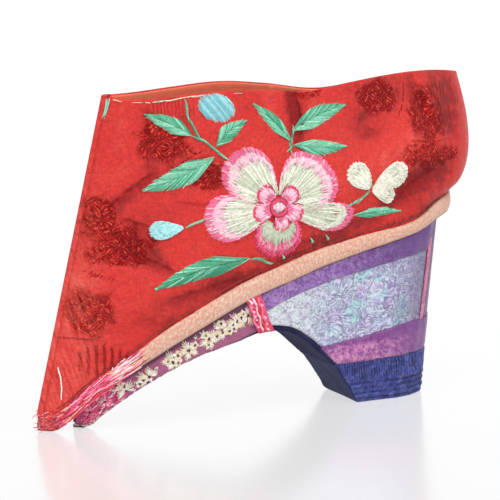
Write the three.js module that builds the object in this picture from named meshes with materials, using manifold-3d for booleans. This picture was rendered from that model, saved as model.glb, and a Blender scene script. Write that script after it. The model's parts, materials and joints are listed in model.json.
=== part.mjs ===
// An embroidered cloth shoe with a high heel and a pointed, sloping forefoot.
// Millimetres, +Z up. The toe points along -X, the heel stands at +X, and the floor is z = 0.
import * as THREE from 'three';
import { mergeVertices } from 'three/addons/utils/BufferGeometryUtils.js';
import Module from 'manifold-3d';

const wasm = await Module();
wasm.setup();

// The foot line, where the cloth upper ends and the binding begins
const footLength = 125.6; // toe point to the back of the foot line
const ballWidth = 31; // width of the foot line at the ball
const seatHeight = 54; // floor to the seat line at the back

// The collar
const collarWidth = 25; // slack width of the opening
const collarHeight = 91; // floor to the collar at the front seam
const collarSetBack = 20; // from the toe point to the front of the collar
const collarOverhang = 4.2; // the collar's back reaches past the foot line by this

// The upper's cloth
const wall = 1.6; // damask, interlining and lining together
const sag = 5.4; // how far the cloth sags out behind the heel
const sagHeight = 0.36; // share of the way up to the collar where it sags most
const seamRise = 0.7; // the front seam stands this proud
const seamWidth = 2; // width of the raised seam on each side

// Binding and insole
const bindingHeight = 4.6;
const bindingWall = 1.8;
const bindingProud = 0.4; // edges of the strip beyond the foot line
const bindingRoll = 0.5; // how far the strip's middle rolls out past its edges
const insoleThickness = 1.4;

// Sole and heel
const soleSetBack = 10; // from the upper's toe point to the tip of the sole
const seatInset = 2.8; // from the back of the foot line to the back of the sole
const soleInset = 0.8; // from the foot line to the sole's edge at the ball
const noseLength = 4; // the sole's tip is rounded over this length
const archHeight = 24.5; // floor to the highest point of the underside
const heelLean = 4.6; // the heel's back edge comes forward by this at the floor
const heelBaseWidth = 18.8;
const capHeight = 12; // cloth-wrapped foot of the heel
const capProud = 0.4;
const outsoleThickness = 1;
const braidWidth = 4.6;
const braidThickness = 0.9;
const braidAlong = 0.42; // share of the sole's length at the braid's upper end
const braidSlant = 4.5; // the braid's lower end lies this far behind its upper end

const clearance = 0.3; // between neighbouring pieces

const collarLength = footLength - collarSetBack + collarOverhang;
const soleLength = footLength - soleSetBack - seatInset;
const soleWidth = ballWidth - 2 * soleInset;
const upperLift = bindingHeight + clearance; // the upper's edge above the seat line
const aboveOutsole = outsoleThickness + clearance;

// Sections of the upper, from the front seam to the back of the heel.
// along, half: shares of the foot length and of half the ball width, at the foot line.
// collarAlong, collarHalf: shares of the collar's length and half width.
// near, far: shares of the collar's height on the two sides of the slack opening.
// swell: share of the sag at the back.
const sections = [
  { along: 0.0, half: 0.0, collarAlong: 0.0, collarHalf: 0.0, near: 1.0, far: 1.0, swell: 0.0 },
  { along: 0.05, half: 0.22, collarAlong: 0.04, collarHalf: 0.2, near: 0.986, far: 0.996, swell: 0.05 },
  { along: 0.13, half: 0.47, collarAlong: 0.11, collarHalf: 0.45, near: 0.984, far: 0.995, swell: 0.15 },
  { along: 0.24, half: 0.73, collarAlong: 0.22, collarHalf: 0.72, near: 1.0, far: 1.0, swell: 0.27 },
  { along: 0.37, half: 0.92, collarAlong: 0.36, collarHalf: 0.92, near: 1.004, far: 1.006, swell: 0.32 },
  { along: 0.52, half: 1.0, collarAlong: 0.5, collarHalf: 1.0, near: 0.993, far: 0.99, swell: 0.3 },
  { along: 0.67, half: 1.03, collarAlong: 0.64, collarHalf: 0.98, near: 1.014, far: 0.967, swell: 0.3 },
  { along: 0.8, half: 1.05, collarAlong: 0.78, collarHalf: 0.86, near: 1.03, far: 0.985, swell: 0.4 },
  { along: 0.9, half: 0.96, collarAlong: 0.89, collarHalf: 0.64, near: 1.03, far: 1.0, swell: 0.6 },
  { along: 0.975, half: 0.57, collarAlong: 0.97, collarHalf: 0.36, near: 1.02, far: 1.008, swell: 0.9 },
  { along: 1.0, half: 0.0, collarAlong: 1.0, collarHalf: 0.0, near: 1.012, far: 1.012, swell: 1.0 },
];

// Seat line: shares of the foot length and of the seat's height. It lies on the floor at the toe.
const seatLine = [
  { along: 0.0, height: 0.0 },
  { along: 0.018, height: 0.0 },
  { along: 0.05, height: 0.038 },
  { along: 0.08, height: 0.105 },
  { along: 0.15, height: 0.235 },
  { along: 0.25, height: 0.39 },
  { along: 0.36, height: 0.535 },
  { along: 0.48, height: 0.68 },
  { along: 0.62, height: 0.81 },
  { along: 0.8, height: 0.91 },
  { along: 1.0, height: 1.0 },
];

// Outline of the sole: along and half are shares of its length and half width, at the seat.
// draft is the share of the heel's narrowing, and lean the share of its lean, at the floor.
const outline = [
  { along: 0.0, half: 0.0, draft: 0.0, lean: 0.0 },
  { along: 0.04, half: 0.24, draft: 0.0, lean: 0.0 },
  { along: 0.11, half: 0.51, draft: 0.0, lean: 0.0 },
  { along: 0.21, half: 0.76, draft: 0.11, lean: 0.0 },
  { along: 0.34, half: 0.93, draft: 0.58, lean: 0.0 },
  { along: 0.5, half: 1.0, draft: 1.0, lean: 0.0 },
  { along: 0.66, half: 1.03, draft: 1.18, lean: 0.0 },
  { along: 0.8, half: 1.05, draft: 1.13, lean: 0.0 },
  { along: 0.9, half: 0.96, draft: 1.0, lean: 0.4 },
  { along: 0.972, half: 0.58, draft: 0.6, lean: 0.85 },
  { along: 1.0, half: 0.0, draft: 0.0, lean: 1.0 },
];

// Underside: shares of the sole's length and of the arch height. Its tip is flat on the floor.
const underside = [
  { along: 0.0, height: 0.0 },
  { along: 0.025, height: 0.0 },
  { along: 0.06, height: 0.145 },
  { along: 0.1, height: 0.3 },
  { along: 0.17, height: 0.52 },
  { along: 0.28, height: 0.77 },
  { along: 0.4, height: 0.925 },
  { along: 0.47, height: 1.0 },
  { along: 0.53, height: 0.965 },
  { along: 0.585, height: 0.82 },
  { along: 0.638, height: 0.61 },
  { along: 0.68, height: 0.41 },
  { along: 0.711, height: 0.21 },
  { along: 0.737, height: 0.0 },
];

// Fineness of the faceted surfaces
const upperLevels = [0, 0.08, 0.18, 0.3, 0.45, 0.6, 0.75, 0.88, 1];
const upperSteps = 84;
const bindingLevels = [0, 0.25, 0.5, 0.75, 1];
const rimShares = [1 / 3, 2 / 3]; // rings between the two faces of a wall, along its edge
const soleSteps = 60;
const noseSteps = 8;
const profileStep = 0.02;
const toeDensity = 0.75;

// Room that the cutting solids keep beyond the shoe
const margin = 20;

// Smooth value of a column at a share along the rows, with no overshoot between rows.
function smoothAt(rows, column, along) {
  const last = rows.length - 1;
  const at = THREE.MathUtils.clamp(along, rows[0].along, rows[last].along);
  const i = Math.max(0, rows.findIndex((row) => row.along >= at) - 1);
  const slope = (k) => (rows[k + 1][column] - rows[k][column]) / (rows[k + 1].along - rows[k].along);
  const tangent = (k) => {
    const before = slope(Math.max(0, k - 1));
    const after = slope(Math.min(last - 1, k));
    return before * after <= 0 ? 0 : (2 * before * after) / (before + after);
  };
  const span = rows[i + 1].along - rows[i].along;
  const s = (at - rows[i].along) / span;
  const rise = s * s * (3 - 2 * s);
  const value = rows[i][column] * (1 - rise) + rows[i + 1][column] * rise;
  const lead = s * (1 - s) * (1 - s) * tangent(i);
  const trail = s * s * (1 - s) * tangent(i + 1);
  return value + span * (lead - trail);
}

// Height of the seat line, where binding and insole lie on the sole.
function seatAt(x) {
  return seatHeight * smoothAt(seatLine, 'height', x / footLength);
}

// Height of the outsole's underside.
function undersideAt(x) {
  return archHeight * smoothAt(underside, 'height', (x - soleSetBack) / soleLength);
}

// Curve along the near side's rows, round the back and along the far side to the front again.
// side is -1 on the near side and 1 on the far side.
function roundTheShoe(rows, place) {
  const near = rows.map((row, i) => place(row, -1, i));
  const far = rows.map((row, i) => place(row, 1, i));
  const points = [...near, ...far.slice(0, -1).reverse()];
  return new THREE.CatmullRomCurve3(points, false, 'centripetal');
}

const footCurve = roundTheShoe(sections, (row, side) => {
  return new THREE.Vector3(row.along * footLength, (side * row.half * ballWidth) / 2, 0);
});

const collarCurve = roundTheShoe(sections, (row, side) => {
  const x = collarSetBack + row.collarAlong * collarLength;
  const y = (side * row.collarHalf * collarWidth) / 2;
  return new THREE.Vector3(x, y, (side < 0 ? row.near : row.far) * collarHeight);
});

// The cloth sags straight out from the foot line, and straight ahead or back on the middle line.
const sagCurve = roundTheShoe(sections, (row, side, i) => {
  const before = sections[Math.max(0, i - 1)];
  const after = sections[Math.min(sections.length - 1, i + 1)];
  const along = (after.along - before.along) * footLength;
  const across = ((after.half - before.half) * ballWidth) / 2;
  const out = new THREE.Vector3(-across, side * along, 0).normalize();
  if (i === 0) out.set(-1, 0, 0);
  if (i === sections.length - 1) out.set(1, 0, 0);
  return out.multiplyScalar(row.swell * sag);
});

const sagPower = Math.log(0.5) / Math.log(sagHeight);

// Point of the upper's outer face: t runs round the shoe, v from the foot line to the collar.
function upperPoint(t, v) {
  const foot = footCurve.getPoint(t);
  foot.z = seatAt(foot.x) + upperLift;
  const swell = Math.sin(Math.PI * v ** sagPower);
  return foot.lerp(collarCurve.getPoint(t), v).addScaledVector(sagCurve.getPoint(t), swell);
}

// A point moved level and square to its curve, outward when out is positive.
function setOff(curve, t, out) {
  const step = 1e-4;
  const ahead = curve(Math.min(1, t + step));
  const behind = curve(Math.max(0, t - step));
  const away = new THREE.Vector3(ahead.y - behind.y, behind.x - ahead.x, 0).normalize();
  return curve(t).addScaledVector(away, out);
}

// Where a curve that is set off inward meets the middle line behind the front corner.
function cornerInside(curve, out) {
  let crossed = 0;
  let clear = 0.25;
  for (let i = 0; i < 40; i++) {
    const middle = (crossed + clear) / 2;
    if (setOff(curve, middle, out).y > 0) crossed = middle;
    else clear = middle;
  }
  return clear;
}

// One closed ring of points, with its sharp corner at the front kept on the middle line.
function ring(curve, stations, out) {
  const start = out < 0 ? cornerInside(curve, out) : 0;
  return stations.map((t) => {
    const point = setOff(curve, start + (1 - 2 * start) * t, out);
    if (t > 0) return point;
    if (out > 0) point.x = curve(0).x - out;
    point.y = 0;
    return point;
  });
}

// Stations round the shoe from the front seam, closer together at the pointed toe.
function stationsRound(steps) {
  return Array.from({ length: steps }, (_, i) => {
    const turn = (2 * Math.PI * i) / steps;
    return (turn - toeDensity * Math.sin(turn)) / (2 * Math.PI);
  });
}

// Triangles between two rings of the same mesh, facing out where the second lies above the first.
function band(indices, lower, upper, count) {
  for (let i = 0; i < count; i++) {
    const j = (i + 1) % count;
    indices.push(lower + i, lower + j, upper + j);
    indices.push(lower + i, upper + j, upper + i);
  }
}

function geometryFrom(points, indices) {
  const geometry = new THREE.BufferGeometry().setFromPoints(points);
  geometry.setIndex(indices);
  return geometry;
}

// A wall that goes round the shoe: rings up its outer face and down its inner face.
function wallFromRings(rings) {
  const count = rings[0].length;
  const indices = [];
  rings.forEach((_, r) => band(indices, r * count, ((r + 1) % rings.length) * count, count));
  return geometryFrom(rings.flat(), indices);
}

// A solid between two level rings, closed at both ends.
function solidBetween(lower, upper) {
  const count = lower.length;
  const indices = [];
  band(indices, 0, count, count);
  for (const [a, b, c] of THREE.ShapeUtils.triangulateShape(lower, [])) indices.push(a, c, b);
  for (const [a, b, c] of THREE.ShapeUtils.triangulateShape(upper, [])) {
    indices.push(count + a, count + b, count + c);
  }
  return geometryFrom([...lower, ...upper], indices);
}

function toSolid(geometry) {
  const bare = geometry.clone();
  bare.deleteAttribute('normal');
  bare.deleteAttribute('uv');
  const merged = mergeVertices(bare, 1e-4);
  return new wasm.Manifold(
    new wasm.Mesh({
      numProp: 3,
      vertProperties: Float32Array.from(merged.attributes.position.array),
      triVerts: Uint32Array.from(merged.index.array),
    }),
  );
}

function toGeometry(solid) {
  const { vertProperties, triVerts } = solid.getMesh();
  const geometry = new THREE.BufferGeometry();
  geometry.setAttribute('position', new THREE.BufferAttribute(vertProperties, 3));
  geometry.setIndex(new THREE.BufferAttribute(triVerts, 1));
  return geometry;
}

// A block right across the shoe with the side view given as anticlockwise [x, z] corners.
function blockAcross(corners) {
  const shape = new THREE.Shape(corners.map(([x, z]) => new THREE.Vector2(x, z)));
  const depth = ballWidth + 2 * margin;
  const geometry = new THREE.ExtrudeGeometry(shape, { depth, bevelEnabled: false });
  geometry.rotateX(Math.PI / 2);
  geometry.translate(0, depth / 2, 0);
  return toSolid(geometry);
}

const frontEnd = -margin;
const backEnd = footLength + margin;
const topEnd = collarHeight + margin;

function shares(from, to) {
  const steps = Math.ceil((to - from) / profileStep);
  return Array.from({ length: steps + 1 }, (_, i) => from + ((to - from) * i) / steps);
}

// Everything below the seat line, lowered by a distance.
function belowSeat(drop) {
  const line = shares(0, 1).map((s) => [s * footLength, seatAt(s * footLength) - drop]);
  const floor = [
    [frontEnd, -margin],
    [backEnd, -margin],
  ];
  const ends = [
    [backEnd, seatHeight - drop],
    [frontEnd, -drop],
  ];
  return blockAcross([...floor, ends[0], ...line.reverse(), ends[1]]);
}

// Everything above the underside, raised square to it by a distance.
function aboveUnderside(raise) {
  const last = underside.at(-1).along;
  const step = 0.01;
  const line = shares(0, last).map((s) => {
    const x = soleSetBack + s * soleLength;
    const climb = undersideAt(x + step) - undersideAt(x - step);
    const normal = new THREE.Vector2(-climb, 2 * step).normalize();
    return [x + normal.x * raise, undersideAt(x) + normal.y * raise];
  });
  const [footX] = line.at(-1);
  const start = [
    [frontEnd, topEnd],
    [frontEnd, raise],
  ];
  const end = [
    [footX, -margin],
    [backEnd, -margin],
    [backEnd, topEnd],
  ];
  return blockAcross([...start, ...line, ...end]);
}

const seatCurve = roundTheShoe(outline, (row, side) => {
  const x = soleSetBack + row.along * soleLength;
  return new THREE.Vector3(x, (side * row.half * soleWidth) / 2, 0);
});

const floorCurve = roundTheShoe(outline, (row, side) => {
  const x = soleSetBack + row.along * soleLength - row.lean * heelLean;
  const narrowing = row.draft * (soleWidth - heelBaseWidth);
  return new THREE.Vector3(x, (side * (row.half * soleWidth - narrowing)) / 2, 0);
});

// The sides of sole and heel, straight from the floor through the seat line, as one tall form.
function soleForm(out) {
  const stations = stationsRound(soleSteps);
  const level = (z) => (t) => {
    const seat = seatCurve.getPoint(t);
    const point = floorCurve.getPoint(t).lerp(seat, z / seatAt(seat.x));
    return point.setZ(z);
  };
  const [lower, upper] = [-clearance, seatHeight + margin / 2].map((z) => ring(level(z), stations, out));
  return toSolid(solidBetween(lower, upper));
}

// Middle of the join between forefoot and heel, which leans back as it goes down.
const joinX = soleSetBack + braidAlong * soleLength;
const joinTop = seatAt(joinX);
const joinSlope = braidSlant / (joinTop - undersideAt(joinX + braidSlant));

// Everything between two lines that run along the join, at distances before or behind it.
function alongJoin(from, to) {
  const at = (z, shift) => [joinX + (joinTop - z) * joinSlope + shift, z];
  return blockAcross([at(-margin, from), at(-margin, to), at(topEnd, to), at(topEnd, from)]);
}

const archX = soleSetBack + underside.find((row) => row.height === 1).along * soleLength;

// Everything behind the arch, up to a height.
function heelFoot(height) {
  return blockAcross([
    [archX, -margin],
    [backEnd, -margin],
    [backEnd, height],
    [archX, height],
  ]);
}

// The raised front seam ends in a short step down to the cloth beside it.
const seamEnd = (0.5 * seamWidth) / footLength;
const seamFoot = seamEnd * 1.15;

// Stations of the upper and its binding, with extra ones on the raised seam.
function upperStations() {
  const beside = stationsRound(upperSteps).map((t) => seamFoot + (1 - 2 * seamFoot) * t);
  return [0, seamEnd / 2, seamEnd, ...beside, 1 - seamFoot, 1 - seamEnd, 1 - seamEnd / 2];
}

function buildUpper() {
  const stations = upperStations();
  const onSeam = (t) => t <= seamEnd || t >= 1 - seamEnd;
  const level = (v, out) => {
    const points = ring((t) => upperPoint(t, v), stations, out);
    if (v === 0) points.forEach((point) => point.setZ(seatAt(point.x) + upperLift));
    return points;
  };
  const face = upperLevels.map((v) => {
    const raised = level(v, seamRise);
    return level(v, 0).map((point, i) => (onSeam(stations[i]) ? raised[i] : point));
  });
  const lining = upperLevels.map((v) => level(v, -wall));
  const rim = rimShares.map((share) => level(0, -wall * share));
  return wallFromRings([...face, ...lining.reverse(), ...rim.reverse()]);
}

function buildBinding() {
  const stations = upperStations();
  const strip = (share, out) => {
    const points = ring((t) => footCurve.getPoint(t), stations, out);
    points.forEach((point) => (point.z = seatAt(point.x) + share * bindingHeight));
    return points;
  };
  const outer = bindingLevels.map((s) => strip(s, bindingProud + bindingRoll * Math.sin(Math.PI * s)));
  const top = rimShares.map((share) => strip(1, bindingProud - bindingWall * share));
  const inner = [1, 0].map((s) => strip(s, bindingProud - bindingWall));
  const bottom = rimShares.map((share) => strip(0, bindingProud - bindingWall * share));
  return wallFromRings([...outer, ...top, ...inner, ...bottom.reverse()]);
}

function buildInsole() {
  const inset = bindingProud - bindingWall - clearance;
  const plan = ring((t) => footCurve.getPoint(t), stationsRound(soleSteps), inset);
  const lower = plan.map((point) => point.clone().setZ(0));
  const upper = plan.map((point) => point.clone().setZ(topEnd));
  const column = toSolid(solidBetween(lower, upper));
  return toGeometry(column.intersect(belowSeat(-insoleThickness)).subtract(belowSeat(0)));
}

// The sole's tip as seen from the side: a quarter ellipse from the outsole up to the seat line.
function noseBlock() {
  const backX = soleSetBack + noseLength;
  const high = seatAt(backX) - clearance - aboveOutsole;
  const curve = Array.from({ length: noseSteps + 1 }, (_, i) => {
    const angle = (i / noseSteps) * (Math.PI / 2);
    return [backX - noseLength * Math.cos(angle), aboveOutsole + high * Math.sin(angle)];
  });
  return blockAcross([[frontEnd, aboveOutsole], ...curve, [backX, topEnd], [frontEnd, topEnd]]);
}

function buildForefootSole() {
  const side = soleForm(0).intersect(belowSeat(clearance)).intersect(aboveUnderside(aboveOutsole));
  const front = side.intersect(alongJoin(frontEnd - backEnd, -clearance / 2));
  return toGeometry(front.subtract(noseBlock()));
}

function buildHeelBlock() {
  const side = soleForm(0).intersect(belowSeat(clearance)).intersect(aboveUnderside(aboveOutsole));
  const back = side.intersect(alongJoin(clearance / 2, backEnd - frontEnd));
  return toGeometry(back.subtract(heelFoot(capHeight + clearance)));
}

function buildHeelCap() {
  const foot = soleForm(capProud).intersect(aboveUnderside(0)).intersect(heelFoot(capHeight));
  const floor = blockAcross([
    [frontEnd, 0],
    [backEnd, 0],
    [backEnd, topEnd],
    [frontEnd, topEnd],
  ]);
  return toGeometry(foot.intersect(floor));
}

function buildOutsole() {
  const layer = aboveUnderside(0).subtract(aboveUnderside(outsoleThickness));
  const sheet = soleForm(0).intersect(layer);
  return toGeometry(sheet.subtract(heelFoot(capHeight + clearance)));
}

function buildBraid() {
  const outside = clearance + braidThickness;
  const outer = soleForm(outside).intersect(aboveUnderside(-outside));
  const inner = soleForm(clearance).intersect(aboveUnderside(-clearance));
  const strip = alongJoin(-braidWidth / 2, braidWidth / 2).intersect(belowSeat(clearance));
  return toGeometry(outer.subtract(inner).intersect(strip));
}

const finishes = {
  upper: { color: 0xc9302f, roughness: 0.5, metalness: 0 },
  binding: { color: 0xf0a98c, roughness: 0.75, metalness: 0 },
  insole: { color: 0xe07048, roughness: 0.85, metalness: 0 },
  forefoot_sole: { color: 0x8c3a66, roughness: 0.7, metalness: 0 },
  heel_block: { color: 0x8f9fd0, roughness: 0.6, metalness: 0 },
  heel_cap: { color: 0x2c2f74, roughness: 0.8, metalness: 0 },
  outsole: { color: 0x33335e, roughness: 0.85, metalness: 0 },
  shank_braid: { color: 0xe8365c, roughness: 0.7, metalness: 0 },
};

function piece(name, geometry) {
  const mesh = new THREE.Mesh(geometry, new THREE.MeshStandardMaterial(finishes[name]));
  mesh.name = name;
  return mesh;
}

const shoe = new THREE.Group();
shoe.name = 'embroidered_shoe';
shoe.add(piece('upper', buildUpper()));
shoe.add(piece('binding', buildBinding()));
shoe.add(piece('insole', buildInsole()));
shoe.add(piece('forefoot_sole', buildForefootSole()));
shoe.add(piece('heel_block', buildHeelBlock()));
shoe.add(piece('heel_cap', buildHeelCap()));
shoe.add(piece('outsole', buildOutsole()));
shoe.add(piece('shank_braid', buildBraid()));

// The origin lies on the floor under the middle of the shoe's length and width.
const middle = new THREE.Box3().setFromObject(shoe).getCenter(new THREE.Vector3());
shoe.position.set(-middle.x, -middle.y, 0);

export default shoe;
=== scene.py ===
"""Looks of one embroidered cloth shoe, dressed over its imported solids.

The toe points along -X, the heel stands at +X, the near side is -Y and the floor is z = 0.
Sizes and places are written in millimetres and become metres where a mesh is made.
"""

import functools
import json
import logging
import math
import random
from dataclasses import dataclass, field
from enum import Enum
from typing import Callable, Iterator, Optional, Sequence, Union

import bmesh
import bpy
import numpy as np
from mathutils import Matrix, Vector, noise
from mathutils.bvhtree import BVHTree

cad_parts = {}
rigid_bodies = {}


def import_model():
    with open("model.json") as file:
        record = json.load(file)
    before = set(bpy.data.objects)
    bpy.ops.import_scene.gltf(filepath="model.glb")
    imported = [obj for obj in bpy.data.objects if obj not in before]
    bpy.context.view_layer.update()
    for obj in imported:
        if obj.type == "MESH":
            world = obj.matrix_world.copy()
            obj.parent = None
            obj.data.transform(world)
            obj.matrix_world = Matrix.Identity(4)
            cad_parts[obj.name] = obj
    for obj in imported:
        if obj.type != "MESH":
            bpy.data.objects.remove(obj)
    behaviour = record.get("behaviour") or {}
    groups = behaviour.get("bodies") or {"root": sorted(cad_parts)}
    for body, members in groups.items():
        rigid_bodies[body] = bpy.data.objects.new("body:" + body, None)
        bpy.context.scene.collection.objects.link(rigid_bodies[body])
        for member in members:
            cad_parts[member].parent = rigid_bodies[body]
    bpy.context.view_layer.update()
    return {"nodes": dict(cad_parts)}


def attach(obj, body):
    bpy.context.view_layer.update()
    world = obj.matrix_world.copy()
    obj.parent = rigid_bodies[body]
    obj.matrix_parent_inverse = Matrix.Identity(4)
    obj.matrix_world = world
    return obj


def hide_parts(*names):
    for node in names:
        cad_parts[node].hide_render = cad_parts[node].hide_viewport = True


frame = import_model()

log = logging.getLogger("embroidered_shoe")

MM = 0.001
BODY = "root"
FAR_OUT = 60.0  # start of a ray, beyond the shoe on every side
DAYLIGHT = 0.76  # share of a colour's look that comes from its cloth, as the lamps add the rest
SHEEN_ROUGHNESS = 0.45

Table = np.ndarray
Mesh = bpy.types.Mesh
Material = bpy.types.Material
Place = tuple[float, float]
Value = Union[float, str, Sequence[float], "Signal"]


class Side(Enum):
    """The two flanks of the shoe, by the sign of their Y."""

    NEAR = -1
    FAR = 1

    @property
    def label(self) -> str:
        """Word for piece names."""
        return self.name.lower()


class Figure(Enum):
    """Kinds of figure woven into the damask."""

    COIL = 1
    CLOUD = 2


class Silk(Enum):
    """Colours of the threads, as they look in daylight."""

    CREAM = "#E2E1D0"
    PEARL = "#F4F1E4"
    FOAM = "#A1DCC2"
    SAGE = "#C2CAB2"
    BLUSH = "#FBC4D6"
    PINK = "#F6749F"
    ROSE = "#EE3F70"
    CRIMSON = "#A3122F"
    MINT = "#79C4A2"
    JADE = "#48A982"
    PINE = "#2F8E6C"
    SKY = "#ABE2E6"
    WATER = "#7CC8D4"
    WHITE = "#F7EFEA"
    INK = "#4A2424"
    # Thread that stands in for painted shade in the groove above the roll.
    WINE = "#7A1216"
    SAND = "#E8D4B2"
    PEACH = "#F3B899"
    SCARLET = "#D8352F"


def paint(code: str, daylight: float = DAYLIGHT) -> tuple[float, float, float, float]:
    """Linear colour of a hex code.

    Args:
        code: Red, green and blue as "#RRGGBB".
        daylight: Share of the look that comes from the cloth itself.

    Returns:
        The linear colour with an alpha of one.
    """
    parts = [int(code[i : i + 2], 16) / 255 for i in (1, 3, 5)]
    linear = [p / 12.92 if p <= 0.04045 else ((p + 0.055) / 1.055) ** 2.4 for p in parts]
    return (linear[0] * daylight, linear[1] * daylight, linear[2] * daylight, 1.0)


class Signal:
    """What flows out of a node: a value, a vector or a colour, and the nodes that may follow it."""

    def __init__(self, board: "Board", socket: bpy.types.NodeSocket) -> None:
        """Keeps the socket and the board that it is on."""
        self.board, self.socket = board, socket

    def __add__(self, other: Value) -> "Signal":
        """The sum of two values."""
        return self.board.math("ADD", self, other)

    def __sub__(self, other: Value) -> "Signal":
        """The difference of two values."""
        return self.board.math("SUBTRACT", self, other)

    def __rsub__(self, other: float) -> "Signal":
        """A number less this value."""
        return self.board.math("SUBTRACT", other, self)

    def __mul__(self, other: Value) -> "Signal":
        """The product of two values."""
        return self.board.math("MULTIPLY", self, other)

    def __truediv__(self, other: Value) -> "Signal":
        """The quotient of two values."""
        return self.board.math("DIVIDE", self, other)

    def __abs__(self) -> "Signal":
        """The value without its sign."""
        return self.board.math("ABSOLUTE", self)

    def most(self, other: Value) -> "Signal":
        """The larger of two values."""
        return self.board.math("MAXIMUM", self, other)

    def sine(self) -> "Signal":
        """Sine of the value, in radians."""
        return self.board.math("SINE", self)

    def wave(self, pitch: float) -> "Signal":
        """Sine of a length over its pitch, from -1 to 1."""
        return (self * (2 * math.pi / pitch)).sine()

    def parts(self) -> list["Signal"]:
        """The three parts of a vector."""
        made = self.board.node("ShaderNodeSeparateXYZ", {0: self})
        return [Signal(self.board, socket) for socket in made.outputs]

    def scaled(self, *factors: float) -> "Signal":
        """The vector with each part multiplied by a factor of its own."""
        return self.board.vector("MULTIPLY", self, factors)

    def ramp(self, low: float, high: float, start: float = 0.0, end: float = 1.0) -> "Signal":
        """Smooth step of the value.

        Args:
            low: Where the step begins.
            high: Where it ends.
            start: Result at low.
            end: Result at high.

        Returns:
            The stepped value.
        """
        values = dict(enumerate((self, low, high, start, end)))
        return self.board.signal("ShaderNodeMapRange", values, interpolation_type="SMOOTHSTEP")

    def noise(self, scale: float, detail: float = 2.0, rough: float = 0.55) -> "Signal":
        """Soft noise from 0 to 1 over the vector, at a scale."""
        values = {"Vector": self, "Scale": scale, "Detail": detail, "Roughness": rough}
        return self.board.signal("ShaderNodeTexNoise", values, "Fac")

    def shifted(self, scale: float, amount: float) -> "Signal":
        """The vector moved about by noise.

        Args:
            scale: Scale of the noise.
            amount: Twice the longest move, in the vector's units.

        Returns:
            The moved vector.
        """
        values = {"Vector": self, "Scale": scale, "Detail": 1.0}
        cloud = self.board.signal("ShaderNodeTexNoise", values, "Color")
        centred = self.board.vector("SUBTRACT", cloud, (0.5, 0.5, 0.5))
        moves = self.board.signal("ShaderNodeVectorMath", {0: centred, 3: amount}, operation="SCALE")
        return self.board.vector("ADD", self, moves)


class Board:
    """A node tree while it is being drawn up."""

    def __init__(self, tree: bpy.types.NodeTree) -> None:
        """Keeps the tree that the nodes go into."""
        self.tree = tree

    def put(self, value: Value, socket: bpy.types.NodeSocket) -> None:
        """Links a signal to an input, or writes a number, a vector or a hex colour there.

        Args:
            value: What the input gets.
            socket: The input.
        """
        if isinstance(value, Signal):
            self.tree.links.new(value.socket, socket)
        else:
            socket.default_value = paint(value) if isinstance(value, str) else value

    def node(self, kind: str, values: Optional[dict] = None, **settings) -> bpy.types.Node:
        """Adds a node.

        Args:
            kind: Name of the node's type.
            values: What its inputs get, by name or index.
            **settings: Properties of the node.

        Returns:
            The new node.
        """
        made = self.tree.nodes.new(kind)
        for name, value in settings.items():
            setattr(made, name, value)
        for name, value in (values or {}).items():
            self.put(value, made.inputs[name])
        return made

    def signal(
        self, kind: str, values: Optional[dict] = None, output: Union[int, str] = 0, **settings
    ) -> Signal:
        """Adds a node and gives one of its outputs, which is named or numbered."""
        return Signal(self, self.node(kind, values, **settings).outputs[output])

    def math(self, operation: str, *terms: Value) -> Signal:
        """Result of a Math node on its terms."""
        return self.signal("ShaderNodeMath", dict(enumerate(terms)), operation=operation)

    def vector(self, operation: str, *terms: Value) -> Signal:
        """Result of a Vector Math node on its terms."""
        output = "Value" if operation in ("LENGTH", "DOT_PRODUCT") else "Vector"
        return self.signal("ShaderNodeVectorMath", dict(enumerate(terms)), output, operation=operation)

    def joined(self, x: Value, y: Value) -> Signal:
        """A flat vector of two parts."""
        return self.signal("ShaderNodeCombineXYZ", {0: x, 1: y})

    def blend(self, share: Value, first: Value, second: Value) -> Signal:
        """Value between two values, which is the second at share 1."""
        return self.signal("ShaderNodeMix", {0: share, 2: first, 3: second}, data_type="FLOAT")

    def mix(self, share: Value, first: Value, second: Value, mode: str = "MIX") -> Signal:
        """Colour between two colours, which is the second at share 1."""
        colours = {0: share, 6: first, 7: second}
        return self.signal("ShaderNodeMix", colours, 2, data_type="RGBA", blend_type=mode, clamp_factor=True)

    def group(self, name: str, **values: Value) -> dict[str, Signal]:
        """Places a node group, with its inputs named in lower case.

        Args:
            name: Name of the group.
            **values: What its inputs get.

        Returns:
            Its outputs by name.
        """
        made = self.node("ShaderNodeGroup", node_tree=bpy.data.node_groups[name])
        for title, value in values.items():
            self.put(value, made.inputs[title.capitalize()])
        return {socket.name: Signal(self, socket) for socket in made.outputs}

    def object_mm(self) -> Signal:
        """Object coordinates in millimetres."""
        return self.signal("ShaderNodeTexCoord", None, "Object").scaled(1 / MM, 1 / MM, 1 / MM)

    def cloth_mm(self) -> Signal:
        """The piece's own cloth coordinates, whose unit is a millimetre."""
        return self.signal("ShaderNodeUVMap", uv_map="cloth")

    def attribute(self, name: str, output: str = "Fac") -> Signal:
        """A value that the mesh holds for each point."""
        return self.signal("ShaderNodeAttribute", None, output, attribute_name=name)


class Effect(Board):
    """A shader node group while it is being drawn up, which several finishes place."""

    def __init__(self, name: str, inputs: dict[str, str], outputs: dict[str, str]) -> None:
        """Starts the group.

        Args:
            name: Name of the group.
            inputs: Kind of each input, by name.
            outputs: Kind of each output, by name.
        """
        super().__init__(bpy.data.node_groups.new(name, "ShaderNodeTree"))
        for way, sockets in (("INPUT", inputs), ("OUTPUT", outputs)):
            for title, kind in sockets.items():
                self.tree.interface.new_socket(title, in_out=way, socket_type="NodeSocket" + kind)
        entry, self.leave = self.node("NodeGroupInput"), self.node("NodeGroupOutput")
        self.given = {title: Signal(self, entry.outputs[title]) for title in inputs}

    def feed(self, **results: Signal) -> None:
        """Links results to the outputs of their names."""
        for title, result in results.items():
            self.put(result, self.leave.inputs[title.capitalize()])


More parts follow.
